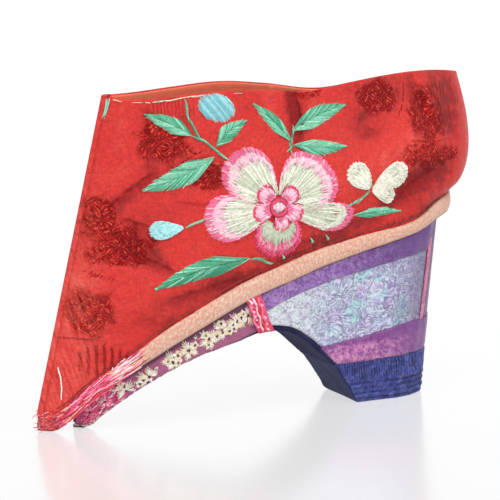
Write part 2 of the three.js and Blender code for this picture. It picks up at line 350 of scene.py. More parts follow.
def draw_weave() -> None:
    """Draws the threads of a cloth over and under one another, on places in millimetres."""
    kinds = {"Vector": "Vector", "Pitch": "Float", "Twill": "Float"}
    group = Effect("thread_weave", kinds, {"Height": "Float", "Shade": "Float"})
    place, pitch, twill = group.given.values()
    u, v, _ = place.shifted(1.1, 0.12).parts()
    weft = v / pitch * math.pi
    slanted = u / pitch * math.pi + weft * twill
    over = (slanted.sine() * weft.sine()).ramp(-0.25, 0.25)
    height = group.blend(over, abs(slanted.sine()), abs(weft.sine()))
    slub = place.scaled(0.35, 2.2, 1.0).noise(1.0, 3.0)
    group.feed(height=height, shade=height.ramp(0.0, 0.9, 0.72, 1.0) * slub.ramp(0.2, 0.8, 0.9, 1.08))


def draw_soil() -> None:
    """Draws uneven fading and a little grime over a colour, on places in millimetres."""
    kinds = {"Color": "Color", "Faded": "Color", "Grime": "Color", "Vector": "Vector", "Amount": "Float"}
    group = Effect("fade_and_soil", kinds, {"Color": "Color"})
    colour, faded, grime, place, amount = group.given.values()
    broad, fine = place.noise(0.055, 3.0, 0.6), place.noise(0.4, 4.0, 0.7)
    bleached = group.mix(broad.ramp(0.42, 0.68) * amount, colour, faded)
    spots = fine.ramp(0.56, 0.8) * broad.ramp(0.3, 0.6, 1.0, 0.25)
    group.feed(color=group.mix(spots * amount, bleached, grime))


def draw_threads() -> None:
    """Draws streaks of single threads that run along X, on places in millimetres."""
    group = Effect("loose_threads", {"Vector": "Vector", "Width": "Float"}, {"Streak": "Float"})
    place, width = group.given.values()
    u, v, _ = place.parts()
    streak = group.joined(u * 0.16, v / width).noise(1.0, 2.0, 0.6)
    group.feed(streak=streak.ramp(0.32, 0.68))


def draw_crease() -> None:
    """Draws a crease as painted shade: a thin dark line with a shaded bank on the left of its course."""
    kinds = {"Vector": "Vector", "Start": "Vector", "End": "Vector", "Width": "Float"}
    group = Effect("cloth_crease", kinds, {"Dark": "Float", "Height": "Float"})
    place, start, end, width = group.given.values()
    course = group.vector("SUBTRACT", end, start)
    away = group.vector("SUBTRACT", place.shifted(0.22, 1.5), start)
    size = group.vector("DOT_PRODUCT", course, course)
    share = group.vector("DOT_PRODUCT", away, course) / size
    (along, rise, _), (right, up, _) = course.parts(), away.parts()
    gap = (along * up - rise * right) / group.math("SQRT", size) / width
    within = share.ramp(0.0, 0.2) * share.ramp(1.0, 0.75)
    broken = place.noise(0.4, 3.0, 0.7).ramp(0.32, 0.62, 0.3, 1.0) * 0.75
    line = gap.ramp(-1.3, 0.0) * gap.ramp(1.8, 0.0) * broken
    bank = gap.ramp(-0.9, 0.5) * gap.ramp(6.5, 0.3)
    group.feed(dark=within * line.most(bank * 0.5), height=1.0 - within * bank)


class Coat(Board):
    """One material with its Principled shader, and the colour that is built up for it."""

    def __init__(
        self, name: str, roughness: float, sheen: float, gloss: float, colour: Value = "#FFFFFF"
    ) -> None:
        """Starts a material.

        Args:
            name: Name of the material.
            roughness: Roughness where nothing feeds it.
            sheen: Strength of the soft rim of light that fibres give.
            gloss: Specular level.
            colour: Colour that the others are laid over.
        """
        self.material = bpy.data.materials.new(name)
        self.material.use_nodes = True
        super().__init__(self.material.node_tree)
        self.shader = self.tree.nodes["Principled BSDF"]
        self.colour = colour
        self.feed("Roughness", roughness)
        self.feed("Specular IOR Level", gloss)
        self.feed("Sheen Weight", sheen)
        self.feed("Sheen Roughness", SHEEN_ROUGHNESS)

    def feed(self, title: str, value: Value) -> None:
        """Gives an input of the shader its signal or value."""
        self.put(value, self.shader.inputs[title])

    def tint(self, share: Value, over: Value) -> None:
        """Lays a share of a colour over the one so far."""
        self.colour = self.mix(share, self.colour, over)

    def shade(self, share: float, by: Signal) -> None:
        """Darkens the colour by a share of a shade."""
        self.colour = self.mix(share, self.colour, by, "MULTIPLY")

    def age(self, worn: str, grime: str, place: Signal, amount: float) -> None:
        """Fades the colour here and soils it there."""
        made = self.group(
            "fade_and_soil", color=self.colour, faded=worn, grime=grime, vector=place, amount=amount
        )
        self.colour = made["Color"]

    def weave(self, share: float, place: Signal, pitch: float, twill: float = 0.0) -> Signal:
        """Darkens the colour between a cloth's threads.

        Args:
            share: Share of the shade.
            place: Place on the cloth, in millimetres.
            pitch: Distance from one thread to the next.
            twill: How far each row of threads is shifted from the last.

        Returns:
            Height of the threads.
        """
        made = self.group("thread_weave", vector=place, pitch=pitch, twill=twill)
        self.shade(share, made["Shade"])
        return made["Height"]

    def streaks(self, place: Signal, width: float) -> Signal:
        """Where single threads lie."""
        return self.group("loose_threads", vector=place, width=width)["Streak"]

    def finished(self, *layers: tuple[Signal, float]) -> Material:
        """Feeds the colour and the bumps to the shader.

        Args:
            *layers: Height of each layer of bumps, from 0 to 1, and its depth in millimetres.

        Returns:
            The material.
        """
        self.feed("Base Color", self.colour)
        normal = {}
        for height, depth in layers:
            values = {"Height": height, "Distance": depth * MM, "Strength": 1.0, **normal}
            normal = {"Normal": self.signal("ShaderNodeBump", values)}
        self.feed("Normal", normal["Normal"])
        return self.material


@dataclass(frozen=True)
class DamaskFinish:
    """Red silk damask with woven coils and clouds that are duller than the satin round them, with painted
    shade in its folds, creases and pleats and a painted highlight on its ridges.
    """

    ground: str = "#E8302A"
    worn: str = "#EC3E36"
    figure: str = "#8C020C"
    glint: str = "#FF6450"
    # Painted shade: dark red laid in the folds' troughs, the shade patches and along the creases.
    hollow: str = "#960A10"
    # Painted highlight: light red laid on the folds' ridges, the light patches and streaks towards the toe.
    crest: str = "#FA6A5C"
    grime: str = "#C01C1C"
    thread: float = 0.34
    roughness: float = 0.38

    def material(self) -> Material:
        """Draws the material.

        Returns:
            The material.
        """
        coat = Coat("damask", self.roughness, 0.05, 0.3, self.ground)
        cloth = coat.cloth_mm()
        u, v, _ = cloth.parts()
        x, _, z = coat.object_mm().parts()
        flat = coat.joined(x, z)
        across, up, kind = coat.attribute("figure", "Vector").parts()
        reach = coat.vector("LENGTH", coat.joined(across, up))
        stir = cloth.noise(0.33, 2.0, 0.5) - 0.5
        outline = cloth.noise(0.22, 3.0, 0.6) - 0.5
        is_cloud = kind.ramp(1.4, 1.6)
        edge = outline * (is_cloud * 0.9 + 1.1) + reach
        woven = edge.ramp(0.66, 1.1, 1.0, 0.0) * kind.ramp(0.9, 0.99)
        rim = abs(edge - 0.78).ramp(0.17, 0.05, 0.0, 0.75) * (1.0 - is_cloud)
        curls = stir * 16.0 + reach * 17.0
        rays = stir * 18.0 + coat.math("ARCTAN2", up, across) * 9.0
        swirl = coat.blend(is_cloud, curls, rays).sine()
        falling = cloth.noise(0.5, 1.0).ramp(0.47, 0.53, -1.0, 1.0)
        strokes = (stir * 24.0 + (v * falling + u) * 4.8).sine()
        hatch = strokes * cloth.noise(0.8, 2.0).ramp(0.35, 0.62, 0.1, 1.5)
        deep = swirl.ramp(-0.4, 0.5, 1.0, 0.6) * hatch.ramp(0.6, -0.4, 0.3, 1.0)
        mass = cloth.noise(0.3, 2.0).ramp(0.5, 0.64, 0.0, 0.8)
        bright = swirl.ramp(-0.5, 0.6, 0.2, 0.9) * hatch.ramp(0.35, 0.9)
        lines, relief = self.creased(coat, flat)
        pleated = self.pleated(coat, flat)
        uneven = cloth.noise(0.33, 4.0, 0.7).ramp(0.32, 0.68, 0.45, 1.5)
        tone = coat.attribute("tone") * uneven
        sheen_streaks = coat.streaks(coat.joined(v, v * 0.25 + u), 0.8)
        coat.age(self.worn, self.grime, cloth, 0.55)
        # Painted shade in the folds' troughs and the shade patches.
        coat.tint(tone.ramp(0.05, -1.0, 0.0, 0.9), self.hollow)
        # Painted highlight on the folds' ridges and the light patches.
        coat.tint(tone.ramp(0.1, 1.0, 0.0, 0.6), self.crest)
        # Painted shade in the troughs of the pleats, in the figure's dark red.
        coat.tint(pleated, self.figure)
        coat.tint(woven * deep.most(mass).most(rim), self.figure)
        coat.tint(woven * bright, self.glint)
        # Painted shade along the creases.
        coat.tint(lines, self.hollow)
        # Painted highlight in streaks of threads towards the toe.
        coat.tint(x.ramp(-46.0, -58.0, 0.0, 0.6) * sheen_streaks, self.crest)
        along = cloth.scaled(0.4, 2.0, 1.0).noise(1.0, 3.0, 0.7)
        across_it = cloth.scaled(2.0, 0.35, 1.0).noise(1.0, 3.0, 0.7)
        cloudy = cloth.noise(0.9, 3.0, 0.75)
        coat.shade(0.8, ((along + across_it) * 0.25 + cloudy * 0.5).ramp(0.4, 0.6, 0.76, 1.15))
        threads = coat.weave(0.55, cloth, self.thread, 1.0)
        coat.feed("Roughness", woven * 0.2 + self.roughness)
        coat.feed("Specular IOR Level", woven.most(pleated).most(lines).ramp(0.0, 1.0, 0.26, 0.08))
        creped = cloth.scaled(0.42, 0.24, 1.0).noise(1.0, 5.0, 0.62)
        ridges = cloth.shifted(0.15, 4.0).scaled(0.95, 0.4, 1.0).noise(1.0, 3.0, 0.6)
        return coat.finished((creped, 0.8), (ridges, 0.4), (relief, 0.35), (pleated * -1.0, 0.2),
                             (hatch * woven, 0.05), (threads, 0.05))

    def creased(self, coat: Coat, flat: Signal) -> tuple[Signal, Signal]:
        """The creases pressed into the cloth.

        Args:
            coat: Where they are drawn.
            flat: Place seen from the side, in millimetres.

        Returns:
            Where they are dark, and their height.
        """
        darks, heights = [], []
        for crease in CREASES:
            made = coat.group("cloth_crease", vector=flat, start=(*crease.start, 0.0), end=(*crease.end, 0.0),
                              width=crease.width)
            darks.append(made["Dark"] * crease.strength)
            heights.append(made["Height"])
        return functools.reduce(Signal.most, darks), functools.reduce(Signal.__add__, heights)

    def pleated(self, coat: Coat, flat: Signal) -> Signal:
        """The patches of fine upright pleats.

        Args:
            coat: Where they are drawn.
            flat: Place seen from the side, in millimetres.

        Returns:
            Where the pleats' troughs are painted dark, as painted shade.
        """
        x, _, _ = flat.shifted(0.5, 0.8).parts()
        ragged = (flat.scaled(1.0, 0.15, 1.0).noise(0.8, 2.0) - 0.5) * 1.1
        darks = []
        for patch in PLEATS:
            away = coat.vector("SUBTRACT", flat, (patch.x, patch.z, 0.0))
            reach = coat.vector("LENGTH", coat.vector("DIVIDE", away, (patch.reach, patch.rise, 1.0)))
            inside = (ragged + reach).ramp(1.0, 0.75, 0.0, patch.strength)
            darks.append(inside * x.wave(patch.pitch).ramp(-0.3, 0.9))
        return functools.reduce(Signal.most, darks)


@dataclass(frozen=True)
class PlainClothFinish:
    """A plain woven cloth, faded here and soiled there."""

    name: str
    colour: str
    worn: str
    grime: str
    thread: float
    roughness: float
    soiling: float
    on_cloth: bool = False  # the weave follows the piece's own cloth coordinates

    def material(self) -> Material:
        """Draws the material.

        Returns:
            The material.
        """
        coat = Coat(self.name, self.roughness, 0.25, 0.25, self.colour)
        solid = coat.object_mm()
        x, y, z = solid.parts()
        coat.age(self.worn, self.grime, solid, self.soiling)
        place = coat.cloth_mm() if self.on_cloth else coat.joined(x + y, z + y * 0.3)
        threads = coat.weave(0.7, place, self.thread)
        return coat.finished((solid.noise(0.5, 3.0), 0.3), (threads, 0.09))


@dataclass(frozen=True)
class TapeFinish:
    """Peach tape of fine ribs, worn through to pink silk towards the toe."""

    colour: str = "#F0B298"
    pale: str = "#F8C8B2"
    cream: str = "#FAE4CE"
    blush: str = "#E88E7C"
    grime: str = "#DFA08E"
    silk: str = "#BE2450"
    torn: str = "#EC6A92"
    tip: str = "#DC3A3E"
    tip_pale: str = "#F08C88"
    torn_from: float = -36.0
    rib: float = 0.42

    def material(self) -> Material:
        """Draws the material.

        Returns:
            The material.
        """
        coat = Coat("binding_tape", 0.68, 0.3, 0.25, self.colour)
        cloth, solid = coat.cloth_mm(), coat.object_mm()
        x, _, _ = solid.parts()
        streak = coat.streaks(cloth, 0.55)
        bare = (x + streak * 11.0).ramp(self.torn_from, self.torn_from - 2.0)
        speckle = cloth.scaled(1.6, 1.3, 1.0).noise(1.0, 3.0, 0.75)
        tip = coat.mix(speckle.ramp(0.5, 0.6), self.tip, self.tip_pale)
        silk = coat.mix(x.ramp(-58.5, -61.5), coat.mix(streak, self.silk, self.torn), tip)
        coat.age(self.pale, self.grime, solid, 0.5)
        coat.tint(speckle.ramp(0.5, 0.6, 0.0, 0.85), self.cream)
        coat.tint(speckle.ramp(0.46, 0.36, 0.0, 0.65), self.blush)
        threads = coat.weave(0.6, cloth, self.rib, 0.6)
        coat.tint(bare, silk)
        return coat.finished((streak * bare, 0.25), (threads, 0.1))


@dataclass(frozen=True)
class RibbonFinish:
    """Plum ribbon round the forefoot, with a darker edge along the floor side."""

    colour: str = "#AA5C84"
    bright: str = "#D66E96"
    dark: str = "#643454"
    patch: str = "#F04C88"

    def material(self) -> Material:
        """Draws the material.

        Returns:
            The material.
        """
        coat = Coat("sole_ribbon", 0.6, 0.3, 0.3, self.colour)
        solid = coat.object_mm()
        x, y, z = solid.parts()
        height = coat.attribute("height")
        mottled = solid.noise(0.9, 3.0)
        coat.tint(mottled.ramp(0.35, 0.7, 0.0, 0.45), self.bright)
        coat.tint(x.ramp(-41.0, -45.0) * mottled.ramp(0.35, 0.55), self.patch)
        level = (mottled - 0.5) * 0.12 + height
        coat.tint(height.ramp(0.09, 0.02).most(level.ramp(0.66, 0.76, 0.0, 0.85)), self.dark)
        threads = coat.weave(0.7, coat.joined(x + y, z), 0.36)
        return coat.finished((mottled, 0.25), (threads, 0.09))


@dataclass(frozen=True)
class BrocadeFinish:
    """Silver-blue silk brocade with curling scrolls in violet and pale aqua, with a painted highlight towards
    its front and painted shade towards and behind its back.
    """

    ground: str = "#C2D2EC"
    pale: str = "#F0F8FC"
    violet: str = "#8278A4"
    aqua: str = "#B0F0EC"
    mauve: str = "#CDBCEC"
    shaded: str = "#74648E"
    plum: str = "#7A4E86"

    def material(self) -> Material:
        """Draws the material.

        Returns:
            The material.
        """
        coat = Coat("heel_brocade", 0.45, 0.25, 0.4, self.ground)
        solid = coat.object_mm()
        x, y, _ = solid.parts()
        lines = (solid.shifted(0.12, 9.0).noise(0.15, 3.0, 0.6) * 72.0).sine()
        patchy = solid.noise(0.35, 3.0, 0.7).ramp(0.38, 0.6)
        spots = solid.noise(0.14, 1.0).ramp(0.56, 0.66)
        coat.tint(solid.noise(0.22, 3.0, 0.7).ramp(0.44, 0.56), self.mauve)
        coat.tint(lines.ramp(0.3, 0.85) * patchy * 0.85, self.violet)
        coat.tint(lines.ramp(-0.5, -0.95) * 0.7, self.pale)
        coat.tint(spots * lines.ramp(0.3, -0.6), self.aqua)
        # Painted shade towards the back, a painted highlight towards the front, and painted shade behind the
        # pink strips.
        coat.tint(x.ramp(32.0, 51.0, 0.0, 0.85), self.shaded)
        coat.tint(x.ramp(20.0, 2.0, 0.0, 0.85), self.pale)
        coat.tint((x * 0.8 - 30.4 - abs(y)).ramp(-0.2, 0.3, 0.0, 0.8), self.plum)
        scribble = solid.shifted(0.5, 2.0).noise(0.9, 3.0, 0.7)
        coat.tint(scribble.ramp(0.5, 0.62, 0.0, 0.6), self.violet)
        threads = coat.weave(0.5, solid, 0.4, 0.7)
        return coat.finished((solid.noise(0.3, 2.0), 0.5), (lines, 0.09), (threads, 0.06))


@dataclass(frozen=True)
class BandFinish:
    """A silk band laid round the heel, mottled with a second colour, with painted shade towards the back."""

    name: str
    colour: str
    second: str
    dark: str
    dark_from: float = 10.0
    dark_to: float = 46.0
    deep_above: float = 99.0

    def material(self) -> Material:
        """Draws the material.

        Returns:
            The material.
        """
        coat = Coat(self.name, 0.5, 0.3, 0.35, self.colour)
        cloth, solid = coat.cloth_mm(), coat.object_mm()
        x, _, z = solid.parts()
        small = solid.shifted(0.3, 3.0).noise(0.6, 3.0, 0.65)
        flecks = solid.noise(1.1, 3.0, 0.75)
        streak = coat.streaks(cloth, 0.7)
        coat.tint(solid.noise(0.34, 4.0, 0.75).ramp(0.44, 0.6), self.second)
        coat.tint(small.ramp(0.5, 0.62, 0.0, 0.6), self.dark)
        coat.tint(flecks.ramp(0.5, 0.6, 0.0, 0.7), self.dark)
        coat.tint(flecks.ramp(0.46, 0.36, 0.0, 0.75), self.second)
        coat.tint(0.12, coat.mix(streak, self.dark, self.second))
        # Painted shade towards the back of the heel.
        coat.tint(x.ramp(self.dark_from, self.dark_to, 0.0, 0.85), self.dark)
        level = x * -0.07 + z + small * 4.0
        coat.tint(level.ramp(self.deep_above, self.deep_above + 2.4, 0.0, 0.7), self.dark)
        threads = coat.weave(0.6, cloth, 0.38)
        return coat.finished((small, 0.2), (streak, 0.06), (threads, 0.08))


@dataclass(frozen=True)
class CapFinish:
    """Navy cloth wrapped round the foot of the heel, gathered in fine upright ribs, with painted shade in the
    troughs of its ribs and layers.
    """

    colour: str = "#454C9E"
    bright: str = "#6E7CCC"
    dark: str = "#1E2052"
    rib: float = 0.8
    layer: float = 1.6

    def material(self) -> Material:
        """Draws the material.

        Returns:
            The material.
        """
        coat = Coat("cap_cloth", 0.78, 0.12, 0.15, self.colour)
        solid = coat.object_mm()
        x, y, z = solid.parts()
        loose_x, loose_y, loose_z = solid.shifted(0.45, 0.8).parts()
        flank = coat.attribute("flank")
        ribs = (loose_x - loose_y).wave(self.rib)
        relief = coat.blend(z.ramp(6.0, 7.5), loose_z.wave(self.layer), ribs) * flank
        fade = solid.scaled(1.0, 1.0, 0.6).noise(0.5, 2.0, 0.6).ramp(0.36, 0.6, 0.35, 1.2)
        crushed = solid.noise(1.1, 3.0, 0.7)
        worn = solid.noise(0.45, 4.0, 0.7)
        coat.tint(worn.ramp(0.45, 0.72), self.bright)
        # Painted shade in the troughs of the ribs and layers.
        coat.tint(relief.ramp(0.1, -0.9, 0.0, 0.75) * fade, self.dark)
        coat.tint(crushed.ramp(0.5, 0.68, 0.0, 0.45), self.dark)
        coat.tint(crushed.ramp(0.46, 0.32, 0.0, 0.5), self.bright)
        # The face towards the toe, under the arch, is painted darker than the flanks.
        coat.tint(flank.ramp(0.9, 0.2, 0.0, 0.85), self.dark)
        threads = coat.weave(0.7, coat.joined(x + y, z), 0.34)
        return coat.finished((relief * fade, 0.22), (worn, 0.25), (crushed, 0.2), (threads, 0.08))


@dataclass(frozen=True)
class OutsoleFinish:
    """Navy cloth under the sole, with the ribbon's plum drawn over its edge at the front."""

    colour: str = "#26284C"
    worn: str = "#3C3E6C"
    grime: str = "#16162C"
    plum: str = "#B0608E"
    cream: str = "#EAC8C0"
    edge: str = "#4A3244"

    def material(self) -> Material:
        """Draws the material.

        Returns:
            The material.
        """
        coat = Coat("outsole_cloth", 0.9, 0.05, 0.1, self.colour)
        solid = coat.object_mm()
        x, y, z = solid.parts()
        speckled = coat.mix(solid.noise(0.8, 2.0).ramp(0.45, 0.55), self.plum, self.cream)
        coat.age(self.worn, self.grime, solid, 0.8)
        low = coat.attribute("height").ramp(0.5, 0.4)
        coat.tint(x.ramp(-12.0, -24.0), coat.mix(low, speckled, self.edge))
        threads = coat.weave(0.7, coat.joined(x, y + z), 0.5)
        return coat.finished((solid.noise(0.5, 3.0), 0.3), (threads, 0.1))


@dataclass(frozen=True)
class SilkFinish:
    """Floss silk of one colour, a little uneven in tone."""

    silk: Silk

    def material(self) -> Material:
        """The material, made the first time that its colour is used.

        Returns:
            The material.
        """
        name = "silk_" + self.silk.name.lower()
        made = bpy.data.materials.get(name)
        if made is not None:
            return made
        coat = Coat(name, 0.4, 0.2, 0.45, paint(self.silk.value, 1.0))
        solid = coat.object_mm()
        coat.tint(solid.noise(1.4, 3.0, 0.6).ramp(0.62, 0.3), paint(self.silk.value, 0.72))
        return coat.finished((solid.noise(4.0, 2.0), 0.08))


def shown(name: str, mesh: Mesh, slot: str, *materials: Material) -> bpy.types.Object:
    """Puts a mesh into the scene as a smooth piece that rides with the shoe.

    Args:
        name: Name of the piece.
        mesh: Its mesh, in place.
        slot: The record's material slot; not used.
        *materials: Its materials.

    Returns:
        The piece.
    """
    mesh.name = name
    mesh.shade_smooth()
    for material in materials:
        mesh.materials.append(material)
    piece = bpy.data.objects.new(name, mesh)
    bpy.context.scene.collection.objects.link(piece)
    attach(piece, BODY)
    triangles = sum(len(p.vertices) - 2 for p in mesh.polygons)
    log.info("%s: %d triangles", name, triangles)
    return piece


def opened(mesh: Mesh) -> bmesh.types.BMesh:
    """A bmesh with a copy of a mesh, which the caller frees.

    Args:
        mesh: The mesh.

    Returns:
        The bmesh.
    """
    form = bmesh.new()
    form.from_mesh(mesh)
    return form


def meshed(form: bmesh.types.BMesh, name: str) -> Mesh:
    """Turns a bmesh into a mesh, facing outwards where it is closed, and frees it.

    Args:
        form: The bmesh.
        name: Name of the mesh.

    Returns:
        The mesh.
    """
    if form.calc_volume(signed=True) < 0:
        bmesh.ops.reverse_faces(form, faces=form.faces)
    mesh = bpy.data.meshes.new(name)
    form.to_mesh(mesh)
    form.free()
    return mesh


def evaluated(data: Union[Mesh, bpy.types.Curve], voxel: float = 0.0) -> Mesh:
    """The mesh of a curve, or of a mesh that is remeshed, in place of the data itself.

    Args:
        data: The curve or mesh.
        voxel: Length of the remeshed facets in millimetres, or 0 for none.

    Returns:
        The new mesh.
    """
    holder = bpy.data.objects.new("holder", data)
    bpy.context.scene.collection.objects.link(holder)
    if voxel > 0:
        remesh = holder.modifiers.new("fine", "REMESH")
        remesh.mode, remesh.voxel_size = "VOXEL", voxel * MM
    view = bpy.context.evaluated_depsgraph_get()
    mesh = bpy.data.meshes.new_from_object(holder.evaluated_get(view))
    bpy.data.batch_remove([holder, data])
    return mesh


def merged(node: str) -> bmesh.types.BMesh:
    """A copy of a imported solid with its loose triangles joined, which the caller frees.

    Args:
        node: Name of the CAD node.

    Returns:
        The bmesh.
    """
    form = opened(frame["nodes"][node].data)
    bmesh.ops.remove_doubles(form, verts=form.verts, dist=1e-6)
    return form


def softened(node: str, voxel: float) -> Mesh:
    """A fine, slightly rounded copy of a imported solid.

    Args:
        node: Name of the CAD node.
        voxel: Length of its facets in millimetres.

    Returns:
        The new mesh.
    """
    fine = evaluated(meshed(merged(node), node + "_rough"), voxel)
    form = opened(fine)
    for _ in range(2):
        bmesh.ops.smooth_vert(
            form, verts=form.verts, factor=0.5, use_axis_x=True, use_axis_y=True, use_axis_z=True
        )
    form.to_mesh(fine)
    form.free()
    return fine


def points_of(mesh: Mesh) -> tuple[Table, Table]:
    """Places and normals of a mesh's points.

    Args:
        mesh: The mesh.

    Returns:
        Places in millimetres, and unit normals.
    """
    count = len(mesh.vertices)
    places, normals = np.zeros(count * 3), np.zeros(count * 3)
    mesh.vertices.foreach_get("co", places)
    mesh.vertices.foreach_get("normal", normals)
    return places.reshape(-1, 3) / MM, normals.reshape(-1, 3)


def move_points(mesh: Mesh, places: Table) -> None:
    """Puts a mesh's points at new places in millimetres, never under the floor.

    Args:
        mesh: The mesh.
        places: The new places.
    """
    places[:, 2] = np.maximum(places[:, 2], 0.0)
    mesh.vertices.foreach_set("co", (places * MM).astype(np.float32).ravel())
    mesh.update()


def mark(mesh: Mesh, name: str, values: Table) -> None:
    """Keeps a number for each point of a mesh, which its finish reads."""
    mesh.attributes.new(name, "FLOAT", "POINT").data.foreach_set("value", values.astype(np.float32))


def cloud_at(places: Table, scale: float, seed: float) -> Table:
    """Smooth noise from -1 to 1 at each place.

    Args:
        places: Places in millimetres.
        scale: Size of the noise's lumps in millimetres.
        seed: Moves the noise, so that two uses differ.

    Returns:
        One value for each place.
    """
    shift = Vector((seed, seed * 1.7, seed * 0.6))
    return np.array([noise.noise(Vector(p) / scale + shift) for p in places])


def tree_of(mesh: Mesh) -> BVHTree:
    """Search tree of a mesh, in metres.

    Args:
        mesh: The mesh.

    Returns:
        The tree.
    """
    form = opened(mesh)
    tree = BVHTree.FromBMesh(form)
    form.free()
    return tree


def on_flank(tree: BVHTree, spot: Place, side: Side) -> Optional[tuple[Vector, Vector]]:
    """Where a spot seen from the side lies on a surface.

    Args:
        tree: Search tree of the surface.
        spot: Its x and z.
        side: The flank that is looked at.

    Returns:
        The place in metres and its normal, or nothing off the surface.
    """
    start = Vector((spot[0], side.value * FAR_OUT, spot[1])) * MM
    place, normal, _, _ = tree.ray_cast(start, Vector((0, -side.value, 0)))
    return None if place is None else (place, normal)


def run_of(places: Table) -> Table:
    """Length along a line to each of its points, or the mean length up a set of rings."""
    steps = np.linalg.norm(np.diff(places, axis=0), axis=-1)
    return np.concatenate([[0.0], np.cumsum(steps if steps.ndim == 1 else steps.mean(axis=1))])


def unit(arrows: Table) -> Table:
    """The arrows with a length of one."""
    return arrows / np.maximum(1e-9, np.linalg.norm(arrows, axis=-1, keepdims=True))


def height_on(ring: Table, x: float, side: Side) -> float:
    """Height of a ring that goes round the shoe, at a place along one flank.

    Args:
        ring: Its points.
        x: Place along the shoe.
        side: The flank.

    Returns:
        The height.
    """
    half = len(ring) // 2
    part = ring[: half + 1] if side is Side.NEAR else ring[half:][::-1]
    return float(np.interp(x, part[:, 0], part[:, 2]))


def round_shoe(rings: Table) -> Table:
    """First cloth coordinate of points round the shoe, which goes on round the back."""
    x, y = rings[..., 0], np.abs(rings[..., 1])
    return x + (y.max(axis=1, keepdims=True) - y) * (x > 10.0) + 100.0


def hermite(rows: Table, knots: Table, wanted: Table) -> Table:
    """Smooth values between rows.

    Args:
        rows: Values at the knots, along the first axis.
        knots: Rising places of the rows.
        wanted: Places to read off.

    Returns:
        The values at the wanted places.
    """
    gaps = np.diff(knots)
    shape = (-1,) + (1,) * (rows.ndim - 1)
    slopes = np.diff(rows, axis=0) / gaps.reshape(shape)
    tangents = np.concatenate([slopes[:1], (slopes[1:] + slopes[:-1]) / 2, slopes[-1:]])
    at = np.clip(np.searchsorted(knots, wanted, side="right") - 1, 0, len(gaps) - 1)
    gap = gaps[at].reshape(shape)
    s = ((wanted - knots[at]) / gaps[at]).reshape(shape)
    start = rows[at] * (1 + 2 * s) * (1 - s) ** 2 + tangents[at] * gap * s * (1 - s) ** 2
    return start + rows[at + 1] * s**2 * (3 - 2 * s) - tangents[at + 1] * gap * s**2 * (1 - s)


def straight_line(start: bmesh.types.BMVert, edge: bmesh.types.BMEdge) -> list[bmesh.types.BMVert]:
    """Points met by walking straight on over a wall where six edges meet at each point.

    Args:
        start: Where the walk begins and ends.
        edge: The first edge of the walk.

    Returns:
        The points, start first.
    """
    line = [start]
    while True:
        point = edge.other_vert(line[-1])
        if point is start:
            return line
        line.append(point)
        face = edge.link_faces[0]
        for _ in range(3):
            edge = next(e for e in face.edges if e is not edge and point in e.verts)
            face = next(f for f in edge.link_faces if f is not face)


@dataclass
class PackedWall:
    """Rings of points read off a packed wall that goes round the shoe, in millimetres.

    Each ring starts at the front and runs along the near side first. Ring 0 is the lower edge of
    the outer face, and the rings go up that face and down the inner one.
    """

    rings: Table

    @classmethod
    def read(cls, node: str) -> "PackedWall":
        """Reads the rings of a CAD node.

        Args:
            node: Name of the CAD node.

        Returns:
            The wall.
        """
        form = merged(node)
        front = min(form.verts, key=lambda v: v.co.x)
        lines = sorted((straight_line(front, e) for e in front.link_edges), key=len)
        column, ring = lines[0], lines[2]
        rings = [ring]
        for point in column[1:]:
            beside = {e.other_vert(rings[-1][1]) for e in rings[-1][1].link_edges}
            walks = (straight_line(point, e) for e in point.link_edges)
            rings.append(next(w for w in walks if len(w) == len(ring) and w[1] in beside))
        table = np.array([[v.co[:] for v in r] for r in rings]) / MM
        form.free()
        if table[0, 3, 1] > 0:
            table = np.roll(table[:, ::-1], 1, axis=1)
        width, height = np.abs(table[:, :, 1]).mean(axis=1), table[:, :, 2].mean(axis=1)
        table = np.roll(table, -int(np.argmax(width - height)), axis=0)
        width, height = np.abs(table[:, :, 1]).mean(axis=1), table[:, :, 2].mean(axis=1)
        if np.argmax(width + height) > len(table) // 2:
            table = np.roll(table[::-1], 1, axis=0)
        return cls(np.concatenate([table, table[:, :1]], axis=1))


def cloth_mesh(
    name: str, places: Table, cloth: Table, marks: Optional[dict[str, Table]] = None, wall: float = 0.0
) -> Mesh:
    """A closed piece of cloth from a table of its points.

    Args:
        name: Name of the mesh.
        places: The points in millimetres, row by row. Each row of a tube ends where it begins.
        cloth: Cloth coordinates of each point, in millimetres.
        marks: Further numbers, one or three for each point, by name.
        wall: Thickness of a sheet in millimetres, or 0 for a tube, whose last row meets its first.

    Returns:
        The mesh, facing out.
    """
    marks = marks or {}
    if not wall:
        places, cloth, *tables = (np.concatenate([t, t[:1]]) for t in (places, cloth, *marks.values()))
        marks = dict(zip(marks, tables))
    rows, columns = places.shape[:2]
    form = bmesh.new()
    sheet = form.loops.layers.uv.new("cloth")
    bmesh.ops.create_grid(form, x_segments=columns - 1, y_segments=rows - 1, size=0.5)
    layers = form.verts.layers
    marked = [((layers.float if table.ndim == 2 else layers.float_vector).new(title), table)
              for title, table in marks.items()]
    spots = {}
    for vert in form.verts:
        spots[vert] = round((vert.co.y + 0.5) * (rows - 1)), round((vert.co.x + 0.5) * (columns - 1))
    for vert, spot in spots.items():
        vert.co = places[spot] * MM
        for layer, table in marked:
            vert[layer] = table[spot]
    for face in form.faces:
        for loop in face.loops:
            loop[sheet].uv = cloth[spots[loop.vert]]
    if wall:
        bmesh.ops.solidify(form, geom=form.faces[:], thickness=wall * MM)
    else:
        bmesh.ops.remove_doubles(form, verts=form.verts, dist=1e-8)
    return meshed(form, name)


